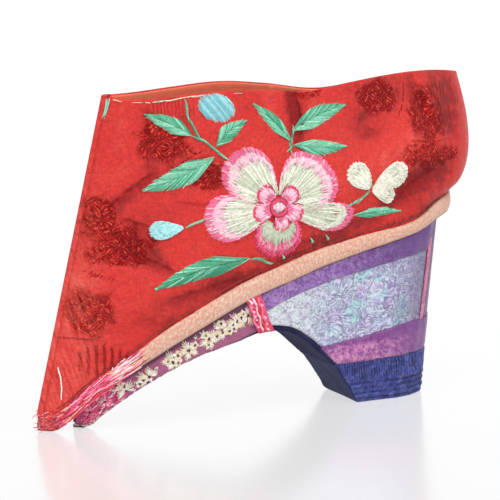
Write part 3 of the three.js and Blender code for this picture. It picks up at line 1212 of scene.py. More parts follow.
@dataclass(frozen=True)
class Fold:
    """A soft trough or ridge of the cloth, straight from one place to another."""

    start: Place
    end: Place
    depth: float
    width: float
    sides: tuple[Side, ...] = (Side.NEAR, Side.FAR)

    def height(self, x: Table, z: Table, side: Table) -> Table:
        """How far the cloth stands out.

        Args:
            x: Places along the shoe.
            z: Places above the floor.
            side: Sign of each place's Y.

        Returns:
            The height at each place, in millimetres.
        """
        along = np.array([self.end[0] - self.start[0], self.end[1] - self.start[1]])
        away = np.stack([x - self.start[0], z - self.start[1]], axis=-1)
        share = np.clip(away @ along / (along @ along), 0, 1)
        gap = np.linalg.norm(away - share[..., None] * along, axis=-1)
        taper = 0.35 + 0.65 * np.sin(np.pi * np.clip(share, 0.02, 0.98))
        here = np.isin(side, [s.value for s in self.sides])
        return self.depth * taper * np.exp(-((gap / self.width) ** 2)) * here


@dataclass(frozen=True)
class Sag:
    """How far the worn tape has slipped up or down, along the shoe."""

    places: tuple[float, ...]
    foot: tuple[float, ...]
    head: tuple[float, ...]

    def at(self, x: Table, level: Union[float, Table]) -> Table:
        """The shift of the tape.

        Args:
            x: Places along the shoe.
            level: Share of the tape's width, 0 at its lower edge.

        Returns:
            The shift upwards of each place, in millimetres.
        """
        grid = np.arange(-70.0, 66.0, 1.0)
        shifts = []
        for line in (self.foot, self.head):
            padded = np.pad(np.interp(grid, self.places, line), 3, mode="edge")
            shifts.append(np.interp(x, grid, np.convolve(padded, np.ones(7) / 7, "valid")))
        return shifts[0] * (1 - level) + shifts[1] * level


SAG = Sag(
    (-66.0, -45.0, -36.0, -31.0, -17.0, -10.0, -3.0, 4.0, 11.0,
     18.0, 25.0, 32.0, 39.0, 43.0, 46.5, 50.0, 62.0),
    (0.0, 0.0, 0.0, 0.0, -0.1, -0.4, -1.2, -2.0, -2.1, -2.1, -2.0, -1.8, -1.8, -1.6, -0.8, 0.3, 0.3),
    (0.0, 0.5, 0.9, 1.2, 1.2, 0.5, -0.3, -1.0, -1.2, -1.9, -2.0, -2.5, -2.9, -2.4, -1.1, 0.5, 0.5),
)


@dataclass(frozen=True)
class Medallion:
    """A figure woven into the damask, by its middle and its two half lengths."""

    x: float
    z: float
    reach: float
    rise: float
    kind: Figure = Figure.COIL


@dataclass(frozen=True)
class Crease:
    """A sharp crease, whose cloth is shaded on the left of its course."""

    start: Place
    end: Place
    width: float = 0.5
    strength: float = 0.8


@dataclass(frozen=True)
class Pleats:
    """A patch of fine upright pleats, by its middle and its two half lengths."""

    x: float
    z: float
    reach: float
    rise: float
    pitch: float
    strength: float


@dataclass(frozen=True)
class Stain:
    """A soft area of painted shade where its strength is below zero, and of painted highlight where it is
    above zero.
    """

    x: float
    z: float
    reach: float
    rise: float
    strength: float

    def amount(self, x: Table, z: Table) -> Table:
        """How much it changes the tone at each place."""
        return self.strength * np.exp(-(((x - self.x) / self.reach) ** 2) - ((z - self.z) / self.rise) ** 2)


FOLDS = (
    Fold((3.2, 93.0), (5.4, 76.0), -2.0, 1.8),
    Fold((-2.6, 93.0), (-0.4, 80.0), 1.3, 2.8),
    Fold((9.8, 93.0), (11.6, 80.0), 1.1, 3.0),
    Fold((-34.5, 70.0), (-48.0, 59.5), -1.0, 2.0),
    Fold((-38.5, 72.5), (-49.5, 64.0), 0.9, 2.2),
    Fold((-44.0, 50.6), (-31.0, 42.8), -1.0, 2.0),
    Fold((-45.0, 46.5), (-35.0, 40.5), 0.9, 2.2),
    Fold((32.0, 57.6), (44.0, 66.0), -2.4, 2.6),
    Fold((40.0, 62.0), (54.0, 67.5), -2.0, 3.0),
    Fold((15.0, 51.5), (34.0, 56.5), -1.2, 2.4),
    Fold((17.0, 62.5), (46.0, 77.0), 1.5, 5.2),
    Fold((22.0, 83.0), (29.0, 77.0), -0.9, 4.2),
    Fold((-37.0, 34.5), (-8.0, 41.0), -1.3, 2.0),
    Fold((-42.0, 36.5), (-10.0, 48.5), 0.9, 2.6),
    Fold((-57.5, 20.0), (-50.0, 60.0), 1.1, 4.4),
    Fold((-35.2, 90.0), (-36.0, 70.5), -0.7, 1.8),
    Fold((-43.0, 89.0), (-43.5, 76.0), 0.8, 2.0),
    Fold((42.4, 92.4), (48.2, 78.5), -1.2, 1.8),
    Fold((46.0, 92.0), (51.5, 80.0), 0.9, 2.2),
    Fold((57.0, 90.0), (54.0, 70.0), -0.9, 2.4),
)

CREASES = (
    Crease((-33.0, 71.5), (-49.0, 59.0), 0.75, 0.9),
    Crease((-29.0, 42.0), (-45.0, 51.5), 0.75, 0.85),
    Crease((-33.5, 54.5), (-45.0, 58.5), 0.6, 0.7),
    Crease((-36.2, 68.0), (-35.2, 90.5), 0.5, 0.6),
    Crease((48.6, 77.0), (42.2, 93.0), 0.7, 0.8),
    Crease((3.2, 94.0), (5.8, 74.0), 0.9, 0.9),
    Crease((51.0, 70.5), (33.0, 57.0), 1.2, 0.8),
    Crease((-10.0, 41.5), (-36.0, 34.5), 0.9, 0.7),
    Crease((-50.0, 25.0), (-62.0, 25.6), 0.5, 0.5),
    Crease((24.0, 83.0), (31.0, 74.0), 1.2, 0.35),
    Crease((-12.0, 60.0), (-32.0, 62.5), 0.9, 0.3),
)

PLEATS = (
    Pleats(-30.0, 86.0, 7.0, 5.6, 0.95, 0.4),
    Pleats(-50.0, 19.4, 7.8, 5.0, 2.0, 0.75),
    Pleats(52.0, 84.0, 5.4, 8.0, 1.3, 0.5),
)

# Painted shade and painted highlight, where the cloth looks darker or lighter.
SHADE_PATCHES = (
    Stain(43.0, 64.2, 9.0, 3.6, -0.85),
    Stain(48.0, 69.5, 8.0, 3.8, -0.6),
    Stain(46.0, 56.5, 7.0, 2.8, -0.6),
    Stain(26.4, 79.8, 6.0, 6.5, -0.2),
    Stain(6.0, 86.0, 3.2, 8.0, -0.5),
    Stain(31.0, 89.0, 9.5, 4.8, -0.5),
    Stain(54.0, 86.5, 6.0, 8.0, -0.5),
    Stain(58.0, 80.0, 6.0, 14.0, -0.4),
    Stain(-45.0, 54.0, 10.5, 9.0, -0.5),
    Stain(-38.0, 49.5, 6.0, 5.0, -0.4),
    Stain(-30.5, 80.0, 7.5, 9.0, -0.45),
    Stain(-20.5, 69.5, 5.5, 4.5, -0.35),
    Stain(-14.0, 40.5, 10.0, 2.8, -0.6),
    Stain(14.0, 49.5, 12.0, 2.6, -0.5),
    Stain(-50.5, 21.0, 5.0, 3.6, -0.3),
    Stain(-52.0, 31.5, 5.5, 6.0, -0.3),
    Stain(36.0, 79.0, 10.0, 8.0, -0.12),
    Stain(-36.0, 30.5, 9.0, 3.6, -0.4),
    Stain(-24.0, 62.0, 9.0, 6.0, 0.2),
    Stain(-29.0, 50.0, 6.0, 4.0, 0.3),
    Stain(-42.5, 80.0, 3.6, 9.0, 0.2),
    Stain(-55.5, 41.0, 2.2, 4.0, 0.8),
)

MEDALLIONS = (
    Medallion(-48.6, 58.8, 5.2, 6.4),
    Medallion(-43.8, 50.5, 9.6, 6.4, Figure.CLOUD),
    Medallion(-52.6, 32.8, 6.6, 7.0),
    Medallion(-31.6, 79.4, 7.4, 6.9, Figure.CLOUD),
    Medallion(-21.5, 69.2, 6.2, 4.8),
    Medallion(31.0, 88.0, 7.6, 5.2),
    Medallion(47.6, 82.4, 7.2, 8.8),
    Medallion(46.8, 70.8, 9.6, 4.6, Figure.CLOUD),
    Medallion(-4.0, 35.5, 6.0, 4.0, Figure.CLOUD),
    Medallion(9.0, 92.0, 6.0, 3.0, Figure.CLOUD),
)


@dataclass
class Upper:
    """The cloth upper: a damask outer, folded over at its edges, and a lining inside it."""

    face_rings: int = 9
    spacing: float = 0.62
    rows: int = 84
    lining_rows: int = 42
    seam_stations: int = 5
    damask_share: float = 0.5
    lining_start: float = 0.54
    lining_lip: float = -0.35
    tuck: float = 0.7
    rim: float = 0.35
    pucker_pitch: float = 3.4
    sag_reach: float = 9.0
    full_tone: float = 2.2
    outer: Table = field(init=False)
    inner: Table = field(init=False)
    tone: Table = field(init=False)
    cloth: Table = field(init=False)
    tree: BVHTree = field(init=False)

    def spread(self, rings: Table, levels: Table, stations: Table, wanted: Table) -> Table:
        """A face's rings at finer levels and stations.

        Args:
            rings: The face's rings, from its lower edge up.
            levels: Wanted levels, as shares of the face's height.
            stations: Lengths round the shoe of the ring's points.
            wanted: Wanted lengths round the shoe.

        Returns:
            The finer rings.
        """
        knots = run_of(rings)
        finer = hermite(rings, knots, levels * knots[-1])
        return hermite(finer.transpose(1, 0, 2), stations, wanted).transpose(1, 0, 2)

    def shape(self) -> None:
        """Works out the cloth's two faces, with its folds."""
        wall = PackedWall.read("upper").rings
        outer, inner = wall[: self.face_rings], wall[self.face_rings : 2 * self.face_rings][::-1]
        stations = run_of(outer[self.face_rings // 2])
        first, last = stations[self.seam_stations], stations[-1 - self.seam_stations]
        fine = 2 * self.seam_stations
        wanted = np.concatenate([
            np.linspace(0.0, 1.0, fine, endpoint=False) * first,
            np.linspace(first, last, round((last - first) / self.spacing)),
            stations[-1] - np.linspace(1.0, 0.0, fine + 1)[1:] * first,
        ])
        levels = np.linspace(0.0, 1.0, self.rows)
        self.outer, self.inner = (self.spread(face, levels, stations, wanted) for face in (outer, inner))
        above = self.outer[..., 2] - self.outer[0, :, 2]
        sunk = SAG.at(self.outer[..., 0], 1.0) * np.exp(-((above / self.sag_reach) ** 2))
        self.outer[..., 2] += sunk
        self.inner[..., 2] += sunk
        out = unit(self.outer - self.inner)
        height = self.relief(levels)
        # Painted shade and painted highlight: the tone follows the folds' height, dark in troughs and light
        # on ridges.
        self.tone = height / self.full_tone
        self.outer += out * height[..., None]
        self.inner += out * height[..., None]
        self.cloth = np.stack([round_shoe(self.outer), self.outer[..., 2] + 100.0], axis=-1)

    def relief(self, levels: Table) -> Table:
        """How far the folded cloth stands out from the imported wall.

        Args:
            levels: Share of the height of each ring.

        Returns:
            The height of each point, in millimetres.
        """
        x, y, z = (self.outer[..., i] for i in range(3))
        side = np.where(np.arange(x.shape[1]) < x.shape[1] / 2, -1, 1) * np.ones_like(x)
        height = sum(fold.height(x, z, side) for fold in FOLDS)
        lumps = np.stack([x, y * 2, z], axis=-1).reshape(-1, 3)
        height += 0.9 * cloud_at(lumps, 19.0, 3.1).reshape(x.shape)
        height += 0.28 * cloud_at(lumps, 6.0, 8.4).reshape(x.shape)
        low = levels[:, None] * (z[-1] - z[0])[None, :]
        pucker = np.sin(2 * np.pi * x / self.pucker_pitch + 2.0 * cloud_at(lumps, 9.0, 1.3).reshape(x.shape))
        height += 0.16 * pucker * np.exp(-low / 3.2)
        height -= 0.5 * np.exp(-low / 1.6)
        aside = np.clip((np.abs(y) - 0.8) / 4.0, 0.0, 1.0)
        back = np.clip(x - (x.max() - 12.0), 0.0, 12.0) / 12.0
        height *= aside * (1.0 - back) + 0.35 * back
        seam = np.exp(-((y / 0.5) ** 2)) * (x > 0)
        return height - 0.45 * seam

    def layer(self, near: float, deep: float, lip: float, tuck: float, count: int) -> tuple[Table, Table]:
        """Rings of one closed layer of the wall, whose upper and lower edges are rounded.

        Args:
            near: Share of the wall's thickness where the layer begins.
            deep: Share where it ends.
            lip: How far its upper edge stands above the wall.
            tuck: How far its lower edge reaches below the wall.
            count: Number of rings of each of its faces.

        Returns:
            The rings, and their cloth coordinates.
        """
        half, top = (deep - near) / 2, self.rows - 1
        face = np.linspace(0, top, count).round().astype(int)
        lifts = {top: lip, 0: -tuck}
        turns = (math.pi / 4, math.pi / 2, math.pi * 3 / 4)
        rings = [(row, near, lifts.get(row, 0.0)) for row in face]
        rings += [(top, near + half * (1 - math.cos(t)), lip + self.rim * math.sin(t)) for t in turns]
        rings += [(row, deep, lifts.get(row, 0.0)) for row in face[::-1]]
        rings += [(0, deep - half * (1 - math.cos(t)), -tuck - self.rim * math.sin(t)) for t in turns]
        places = [self.outer[row] * (1 - share) + self.inner[row] * share + np.array([0.0, 0.0, lift])
                  for row, share, lift in rings]
        return np.stack(places), self.cloth[[row for row, _, _ in rings]]

    def figures(self, rows: int) -> Table:
        """Where each point lies on the woven figures.

        Args:
            rows: Number of rings of the layer, the outer face's first.

        Returns:
            Place on the figure, as shares of its half lengths, and its kind.
        """
        x, z = self.outer[..., 0], self.outer[..., 2]
        found = np.full(x.shape + (3,), 9.0)
        found[..., 2] = 0.0
        for figure in MEDALLIONS:
            across, up = (x - figure.x) / figure.reach, (z - figure.z) / figure.rise
            closer = np.hypot(across, up) < np.hypot(found[..., 0], found[..., 1])
            kind = np.where(np.hypot(across, up) < 1.4, figure.kind.value, 0)
            for part, value in enumerate((across, up, kind)):
                found[..., part] = np.where(closer, value, found[..., part])
        table = np.zeros((rows,) + found.shape[1:])
        table[: self.rows] = found
        table[self.rows :] = found[-1]
        table[self.rows :, :, 2] = 0.0
        return table

    def tones(self, rows: int) -> Table:
        """How light or dark the cloth is painted at each point: painted shade and painted highlight from its
        folds' height and from its shade patches.

        Args:
            rows: Number of rings of the layer, the outer face's first.

        Returns:
            The tone of each point, from -1 to 1.
        """
        x, z = self.outer[..., 0], self.outer[..., 2]
        tone = self.tone + sum(shading.amount(x, z) for shading in SHADE_PATCHES)
        table = np.zeros((rows,) + tone.shape[1:])
        table[: self.rows] = np.clip(tone, -1.0, 1.0)
        table[self.rows :] = table[self.rows - 1]
        return table

    def build(self) -> None:
        """Makes the damask and its lining."""
        self.shape()
        rings, cloth = self.layer(0.0, self.damask_share, 0.0, self.tuck, self.rows)
        marks = {"figure": self.figures(len(rings)), "tone": self.tones(len(rings))}
        mesh = cloth_mesh("damask", rings, cloth, marks)
        damask = shown("damask_upper", mesh, "damask", DamaskFinish().material())
        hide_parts("upper")
        self.tree = tree_of(mesh)
        rings, cloth = self.layer(self.lining_start, 1.0, self.lining_lip, 0.0, self.lining_rows)
        finish = PlainClothFinish("lining_cloth", "#FF7A56", "#FFA27E", "#E0563A", 0.45, 0.75, 0.5, True)
        shown("upper_lining", cloth_mesh("lining", rings, cloth), "lining_cloth", finish.material())


@dataclass
class Needlework:
    """Threads laid over one flank of a surface, gathered into one piece."""

    name: str
    surface: BVHTree
    side: Side
    dice: random.Random
    slot: str = "embroidery_silk"
    step: float = 1.8
    gauge: float = 0.2
    sunk: float = 0.12
    curve: bpy.types.Curve = field(init=False)
    silks: list[Silk] = field(init=False, default_factory=list)

    def __post_init__(self) -> None:
        """Starts the curve that holds the threads."""
        self.curve = bpy.data.curves.new(self.name, "CURVE")
        self.curve.dimensions = "3D"
        self.curve.bevel_depth, self.curve.bevel_resolution = self.gauge * MM, 0
        self.curve.use_fill_caps = True

    def line(self, silk: Silk, places: Sequence[Sequence[float]], gauges: Sequence[float]) -> None:
        """Adds a thread to the curve.

        Args:
            silk: Its colour.
            places: Its course in metres.
            gauges: Half its thickness at each place, in millimetres.
        """
        if silk not in self.silks:
            self.silks.append(silk)
            self.curve.materials.append(SilkFinish(silk).material())
        line = self.curve.splines.new("POLY")
        line.points.add(len(places) - 1)
        line.material_index = self.silks.index(silk)
        for point, place, gauge in zip(line.points, places, gauges):
            point.co = (*place, 1.0)
            point.radius = gauge / self.gauge

    def thread(
        self, spots: Sequence[Place], silk: Silk, gauge: float = 0.2, lift: float = 0.25, base: float = 0.12
    ) -> None:
        """Lays one thread on the surface, whose ends dip into the cloth.

        Args:
            spots: Its course, as seen from the side.
            silk: Its colour.
            gauge: Half its thickness.
            lift: How far its middle stands off the cloth.
            base: How far its ends' neighbours stand off.
        """
        course = [spots[0]]
        for last, spot in zip(spots, spots[1:]):
            pieces = max(1, math.ceil(math.dist(last, spot) / self.step))
            course += [tuple(a + (b - a) * k / pieces for a, b in zip(last, spot))
                       for k in range(1, pieces + 1)]
        if len(course) == 2:
            course.insert(1, tuple((a + b) / 2 for a, b in zip(*course)))
        hits = (on_flank(self.surface, spot, self.side) for spot in course)
        found = [hit for hit in hits if hit is not None]
        if len(found) < 3:
            return
        places, gauges = [], []
        for k, (place, normal) in enumerate(found):
            share = k / (len(found) - 1)
            inside = 0 < share < 1
            height = base + lift * math.sin(math.pi * share) if inside else -self.sunk
            places.append(place + normal * height * MM)
            gauges.append(gauge if inside else 0.7 * gauge)
        self.line(silk, places, gauges)

    def loose(self, course: Sequence[Sequence[float]], silk: Silk, gauge: float) -> None:
        """Adds a fibre that hangs free, by its places and half its thickness in millimetres."""
        places = [(x * MM, y * MM, max(z, gauge) * MM) for x, y, z in course]
        self.line(silk, places, [gauge] * len(places))

    def finish(self) -> None:
        """Turns the threads into a piece of the scene."""
        shown(self.name, evaluated(self.curve), self.slot)


def beside(start: Place, angle: float, length: float) -> Place:
    """The place at an angle in degrees and a length from another."""
    turn = math.radians(angle)
    return (start[0] + length * math.cos(turn), start[1] + length * math.sin(turn))


def along_line(course: Sequence[Place], pitch: float) -> Iterator[tuple[Place, float]]:
    """Places at an even pitch along a course, with the course's angle in degrees.

    Args:
        course: The places that it joins.
        pitch: Length from one place to the next.

    Returns:
        The places with their angles, one by one.
    """
    left = 0.0
    for a, b in zip(course, course[1:]):
        length, angle = math.dist(a, b), math.degrees(math.atan2(b[1] - a[1], b[0] - a[0]))
        while left <= length:
            yield beside(a, angle, left), angle
            left += pitch
        left -= length


@dataclass(frozen=True)
class Petal:
    """A fan of satin stitches in three tones, from a hub."""

    hub: Place
    angle: float
    length: float
    spread: float
    tones: tuple[Silk, Silk, Silk]
    start: float = 3.4
    inner_share: float = 0.78
    outer_share: float = 0.87
    pitch: float = 0.4
    base: float = 0.12
    lean: float = 0.0
    taper: float = 0.35
    shade: float = 0.45

    def sew(self, needle: Needlework) -> None:
        """Sews the petal.

        Args:
            needle: The work that they go into.
        """
        dice, (inner, middle, outer) = needle.dice, self.tones
        half = math.radians(self.spread)
        count = max(4, round(2 * half * self.length / self.pitch))
        for k in range(1, count):
            t = 2 * k / count - 1
            aside = (t - self.lean) / (1 - self.lean if t > self.lean else 1 + self.lean)
            reach = self.length * (1 - abs(aside) ** 2.4) ** self.taper + dice.uniform(-0.25, 0.25)
            if reach < self.start + 0.8:
                continue
            angle = self.angle + t * self.spread
            first = self.start if k % 2 else max(self.start, 0.45 * reach)
            last = min(reach, max(first + 0.8, reach * (self.inner_share + dice.uniform(-0.06, 0.08))))
            silk = inner
            if inner is Silk.CREAM:
                pale = (Silk.CREAM, Silk.CREAM, Silk.PEARL)
                silk = Silk.SAGE if dice.random() < self.shade else dice.choice(pale)
            spots = [beside(self.hub, angle, first), beside(self.hub, angle, last)]
            needle.thread(spots, silk, gauge=0.23, base=self.base)
            near = max(self.start, reach * (self.inner_share - 0.06 + dice.uniform(-0.08, 0.06)))
            far = reach * 0.93
            if far - near > 0.7:
                spots = [beside(self.hub, angle + 0.4, near), beside(self.hub, angle + 0.2, far)]
                needle.thread(spots, middle if dice.random() < 0.8 else inner, base=self.base + 0.1)
            near = max(self.start, min(reach - 1.0, reach * (self.outer_share + dice.uniform(-0.05, 0.05))))
            rim = middle if dice.random() < 0.18 else outer
            spots = [beside(self.hub, angle, near), beside(self.hub, angle, reach)]
            needle.thread(spots, rim, base=self.base + 0.14)


@dataclass(frozen=True)
class Leaf:
    """A pointed leaf of slanted satin stitches on both sides of its rib."""

    tip: Place
    foot: Place
    width: float
    tones: tuple[Silk, Silk] = (Silk.MINT, Silk.JADE)
    bend: float = 0.0
    slant: float = 0.36
    pitch: float = 0.4

    @property
    def along(self) -> tuple[float, float]:
        """Direction from the foot to the tip."""
        turn = math.atan2(self.tip[1] - self.foot[1], self.tip[0] - self.foot[0])
        return (math.cos(turn), math.sin(turn))

    def rib(self, share: float) -> Place:
        """A place on the rib.

        Args:
            share: Share of the rib's length, 0 at the foot.

        Returns:
            The place.
        """
        length, (x, z) = math.dist(self.foot, self.tip) * share, self.along
        away = self.bend * math.sin(math.pi * share)
        return (self.foot[0] + x * length - z * away, self.foot[1] + z * length + x * away)

    def edge(self, share: float, flank: int, slack: float) -> Place:
        """A place on the outline, on one flank.

        Args:
            share: Share of the rib's length, 0 at the foot.
            flank: Flank of the rib, 1 or -1.
            slack: How far beyond the outline.

        Returns:
            The place.
        """
        share = min(1.0, share)
        away = flank * (self.width / 2 * math.sin(math.pi * share**0.8) ** 0.8 + slack)
        x, z = self.rib(share)
        return (x - self.along[1] * away, z + self.along[0] * away)

    def sew(self, needle: Needlework) -> None:
        """Sews the leaf.

        Args:
            needle: The work that they go into.
        """
        dice = needle.dice
        count = round(math.dist(self.foot, self.tip) / self.pitch)
        for flank, tone in zip((1, -1), self.tones):
            for k in range(count):
                share = k / count
                end = share + self.slant * (1 - 0.5 * share)
                silk = tone if dice.random() < 0.62 else dice.choice((*self.tones, Silk.PINE, Silk.FOAM))
                slack = dice.uniform(-0.16, 0.12) + (0.25 if dice.random() < 0.08 else 0.0)
                needle.thread([self.rib(share), self.edge(end, flank, slack)], silk, lift=0.2)


@dataclass(frozen=True)
class Stem:
    """A line of short slanted stitches that overlap."""

    course: tuple[Place, ...]
    tone: Silk = Silk.JADE
    width: float = 0.28
    pitch: float = 0.8
    stitch: float = 2.1

    def sew(self, needle: Needlework) -> None:
        """Sews the stem.

        Args:
            needle: The work that they go into.
        """
        dice = needle.dice
        for spot, angle in along_line(self.course, self.pitch):
            start = beside(spot, angle - 90, self.width + dice.uniform(-0.05, 0.05))
            end = beside(beside(spot, angle, self.stitch), angle + 90, self.width)
            needle.thread([start, end], self.tone if dice.random() < 0.75 else Silk.MINT, gauge=0.22)


@dataclass(frozen=True)
class Bud:
    """An oval filled with parallel stitches that shade from one tone to another."""

    middle: Place
    length: float
    width: float
    angle: float
    grain: float
    tones: tuple[Silk, Silk]
    pitch: float = 0.4

    def sew(self, needle: Needlework) -> None:
        """Sews the bud.

        Args:
            needle: The work that they go into.
        """
        dice = needle.dice
        turn = math.radians(self.grain - self.angle)
        a, b = self.length / 2, self.width / 2
        reach = math.hypot(a * math.sin(turn), b * math.cos(turn))
        count = round(2 * reach / self.pitch)
        for k in range(1, count):
            away = (2 * k / count - 1) * reach
            half = a * b * math.sqrt(max(0.0, 1 - (away / reach) ** 2)) / reach
            skew = away * (a * a - b * b) * math.sin(turn) * math.cos(turn) / reach**2
            spot = beside(self.middle, self.grain + 90, away)
            first, last = half + dice.uniform(-0.3, 0.3), half + dice.uniform(-0.3, 0.3)
            silk = self.tones[0] if dice.random() < 0.5 + 0.12 * away / reach else self.tones[1]
            spots = [beside(spot, self.grain, -first - skew), beside(spot, self.grain, last - skew)]
            needle.thread(spots, silk)


FLOWER = (-1.1, 59.6)
TUFT = (27.2, 62.6)
OUTER_TONES = (Silk.CREAM, Silk.BLUSH, Silk.PINK)
LOW_TONES = (Silk.CREAM, Silk.CREAM, Silk.PINK)
SHADED_TONES = (Silk.SAGE, Silk.PINK, Silk.ROSE)
HEART_TONES = (Silk.PINK, Silk.BLUSH, Silk.ROSE)
TUFT_TONES = (Silk.CREAM, Silk.CREAM, Silk.PEARL)
SKY_TONES = (Silk.SKY, Silk.SKY, Silk.SKY)

PETALS = (
    Petal(FLOWER, 132, 19.6, 40, OUTER_TONES, taper=0.42),
    Petal(FLOWER, 38, 19.2, 48, OUTER_TONES, lean=-0.28, shade=0.6),
    Petal(FLOWER, 188.8, 21.4, 30, OUTER_TONES),
    Petal(FLOWER, -15, 23.6, 19, LOW_TONES, outer_share=0.86, lean=0.4, taper=0.5, shade=0.7),
    Petal(FLOWER, -91, 14.0, 57, SHADED_TONES, 4.6, 0.76, 0.86, base=0.3, taper=0.42),
)

HEART = tuple(
    Petal(FLOWER, angle, length, 31, HEART_TONES, 2.2, 0.5, 0.76, base=0.35, taper=0.26)
    for angle, length in ((137, 8.4), (43, 7.8), (192, 8.4), (-22, 8.2), (-80, 7.4))
)
# Share of the spread and share of the length, for places on the outline of an inner petal.
HEART_OUTLINE = ((0.8, 0.32), (0.98, 0.5), (0.93, 0.7), (0.76, 0.88), (0.5, 0.99))

LEAVES = (
    Leaf((-36.3, 85.9), (-24.3, 80.0), 4.2, bend=-0.4),
    Leaf((-8.9, 83.6), (-17.9, 76.9), 4.4, bend=0.8),
    Leaf((-37.7, 65.4), (-18.5, 74.0), 5.6, (Silk.JADE, Silk.MINT), bend=0.8),
    Leaf((-6.7, 88.0), (3.6, 77.4), 3.6, bend=-0.3),
    Leaf((20.9, 86.3), (4.5, 80.0), 5.2, (Silk.JADE, Silk.MINT), bend=1.0),
    Leaf((20.5, 75.1), (4.6, 76.2), 4.2, bend=-0.6),
    Leaf((37.0, 56.0), (22.2, 55.7), 2.6, bend=0.3),
    Leaf((-36.1, 38.8), (-9.7, 46.0), 5.2, (Silk.PINE, Silk.JADE), bend=-1.4),
)

STEMS = (
    Stem(((-25.4, 89.9), (-25.2, 85.3), (-22.7, 79.9), (-15.9, 73.9))),
    Stem(((-24.3, 80.0), (-22.9, 79.2)), width=0.2),
    Stem(((3.4, 73.2), (3.4, 76.0), (4.6, 80.0)), Silk.PINE),
    Stem(((4.6, 76.2), (3.6, 75.6)), Silk.PINE, 0.2),
    Stem(((-27.5, 55.4), (-25.6, 56.1), (-23.6, 56.8)), Silk.MINT),
    Stem(((27.0, 62.4), (24.2, 60.2), (19.6, 58.2)), Silk.JADE, 0.3),
    Stem(((-9.7, 46.0), (-6.8, 45.6), (-4.2, 44.4)), Silk.JADE, 0.35),
)

BUDS = (
    Bud((-17.2, 87.3), 10.6, 7.6, -18.0, -52.0, (Silk.SKY, Silk.WATER)),
    Petal((-27.4, 55.3), 186.0, 9.3, 27.0, SKY_TONES, 0.6, pitch=0.3),
    Petal(TUFT, 131.0, 9.2, 40.0, TUFT_TONES, 0.6, pitch=0.3, taper=0.45, shade=0.1),
    Petal(TUFT, 25.0, 12.8, 29.0, TUFT_TONES, 0.6, pitch=0.3, taper=0.45, shade=0.1),
    Petal(TUFT, -19.0, 8.4, 30.0, TUFT_TONES, 0.6, pitch=0.3, taper=0.5, shade=0.2),
)


@dataclass
class Embroidery:
    """The sewn flowers of one flank."""

    surface: BVHTree
    side: Side
    seed: int
    knot: float = 1.75

    def heart(self, needle: Needlework) -> None:
        """Sews the flower's small inner petals and its knot.

        Args:
            needle: The work that they go into.
        """
        for petal in HEART:
            petal.sew(needle)
            for edge in (-1, 1):
                spots = [beside(FLOWER, petal.angle + edge * aside * petal.spread, reach * petal.length)
                         for aside, reach in HEART_OUTLINE]
                needle.thread(spots, Silk.CRIMSON, gauge=0.15, lift=0.05, base=0.5)
        for radius, silk in ((2.0, Silk.ROSE), (2.35, Silk.ROSE), (2.7, Silk.CRIMSON)):
            ring = [beside(FLOWER, angle, radius) for angle in range(0, 361, 24)]
            needle.thread(ring, silk, gauge=0.24, lift=0.0, base=0.6)
        for k in range(9):
            away = (k / 8 * 2 - 1) * 1.55
            half = math.sqrt(max(0.3, self.knot**2 - away**2))
            spots = [(FLOWER[0] + away, FLOWER[1] - half), (FLOWER[0] + away, FLOWER[1] + half)]
            needle.thread(spots, Silk.BLUSH if k % 3 else Silk.WHITE, gauge=0.26, lift=0.25, base=0.75)

    def build(self) -> None:
        """Sews the flank."""
        dice = random.Random(self.seed)
        for name, parts in (("flower", PETALS), ("leaves", LEAVES + STEMS), ("buds", BUDS)):
            needle = Needlework(f"{self.side.label}_{name}", self.surface, self.side, dice)
            for part in parts:
                part.sew(needle)
            if parts is PETALS:
                self.heart(needle)
            needle.finish()


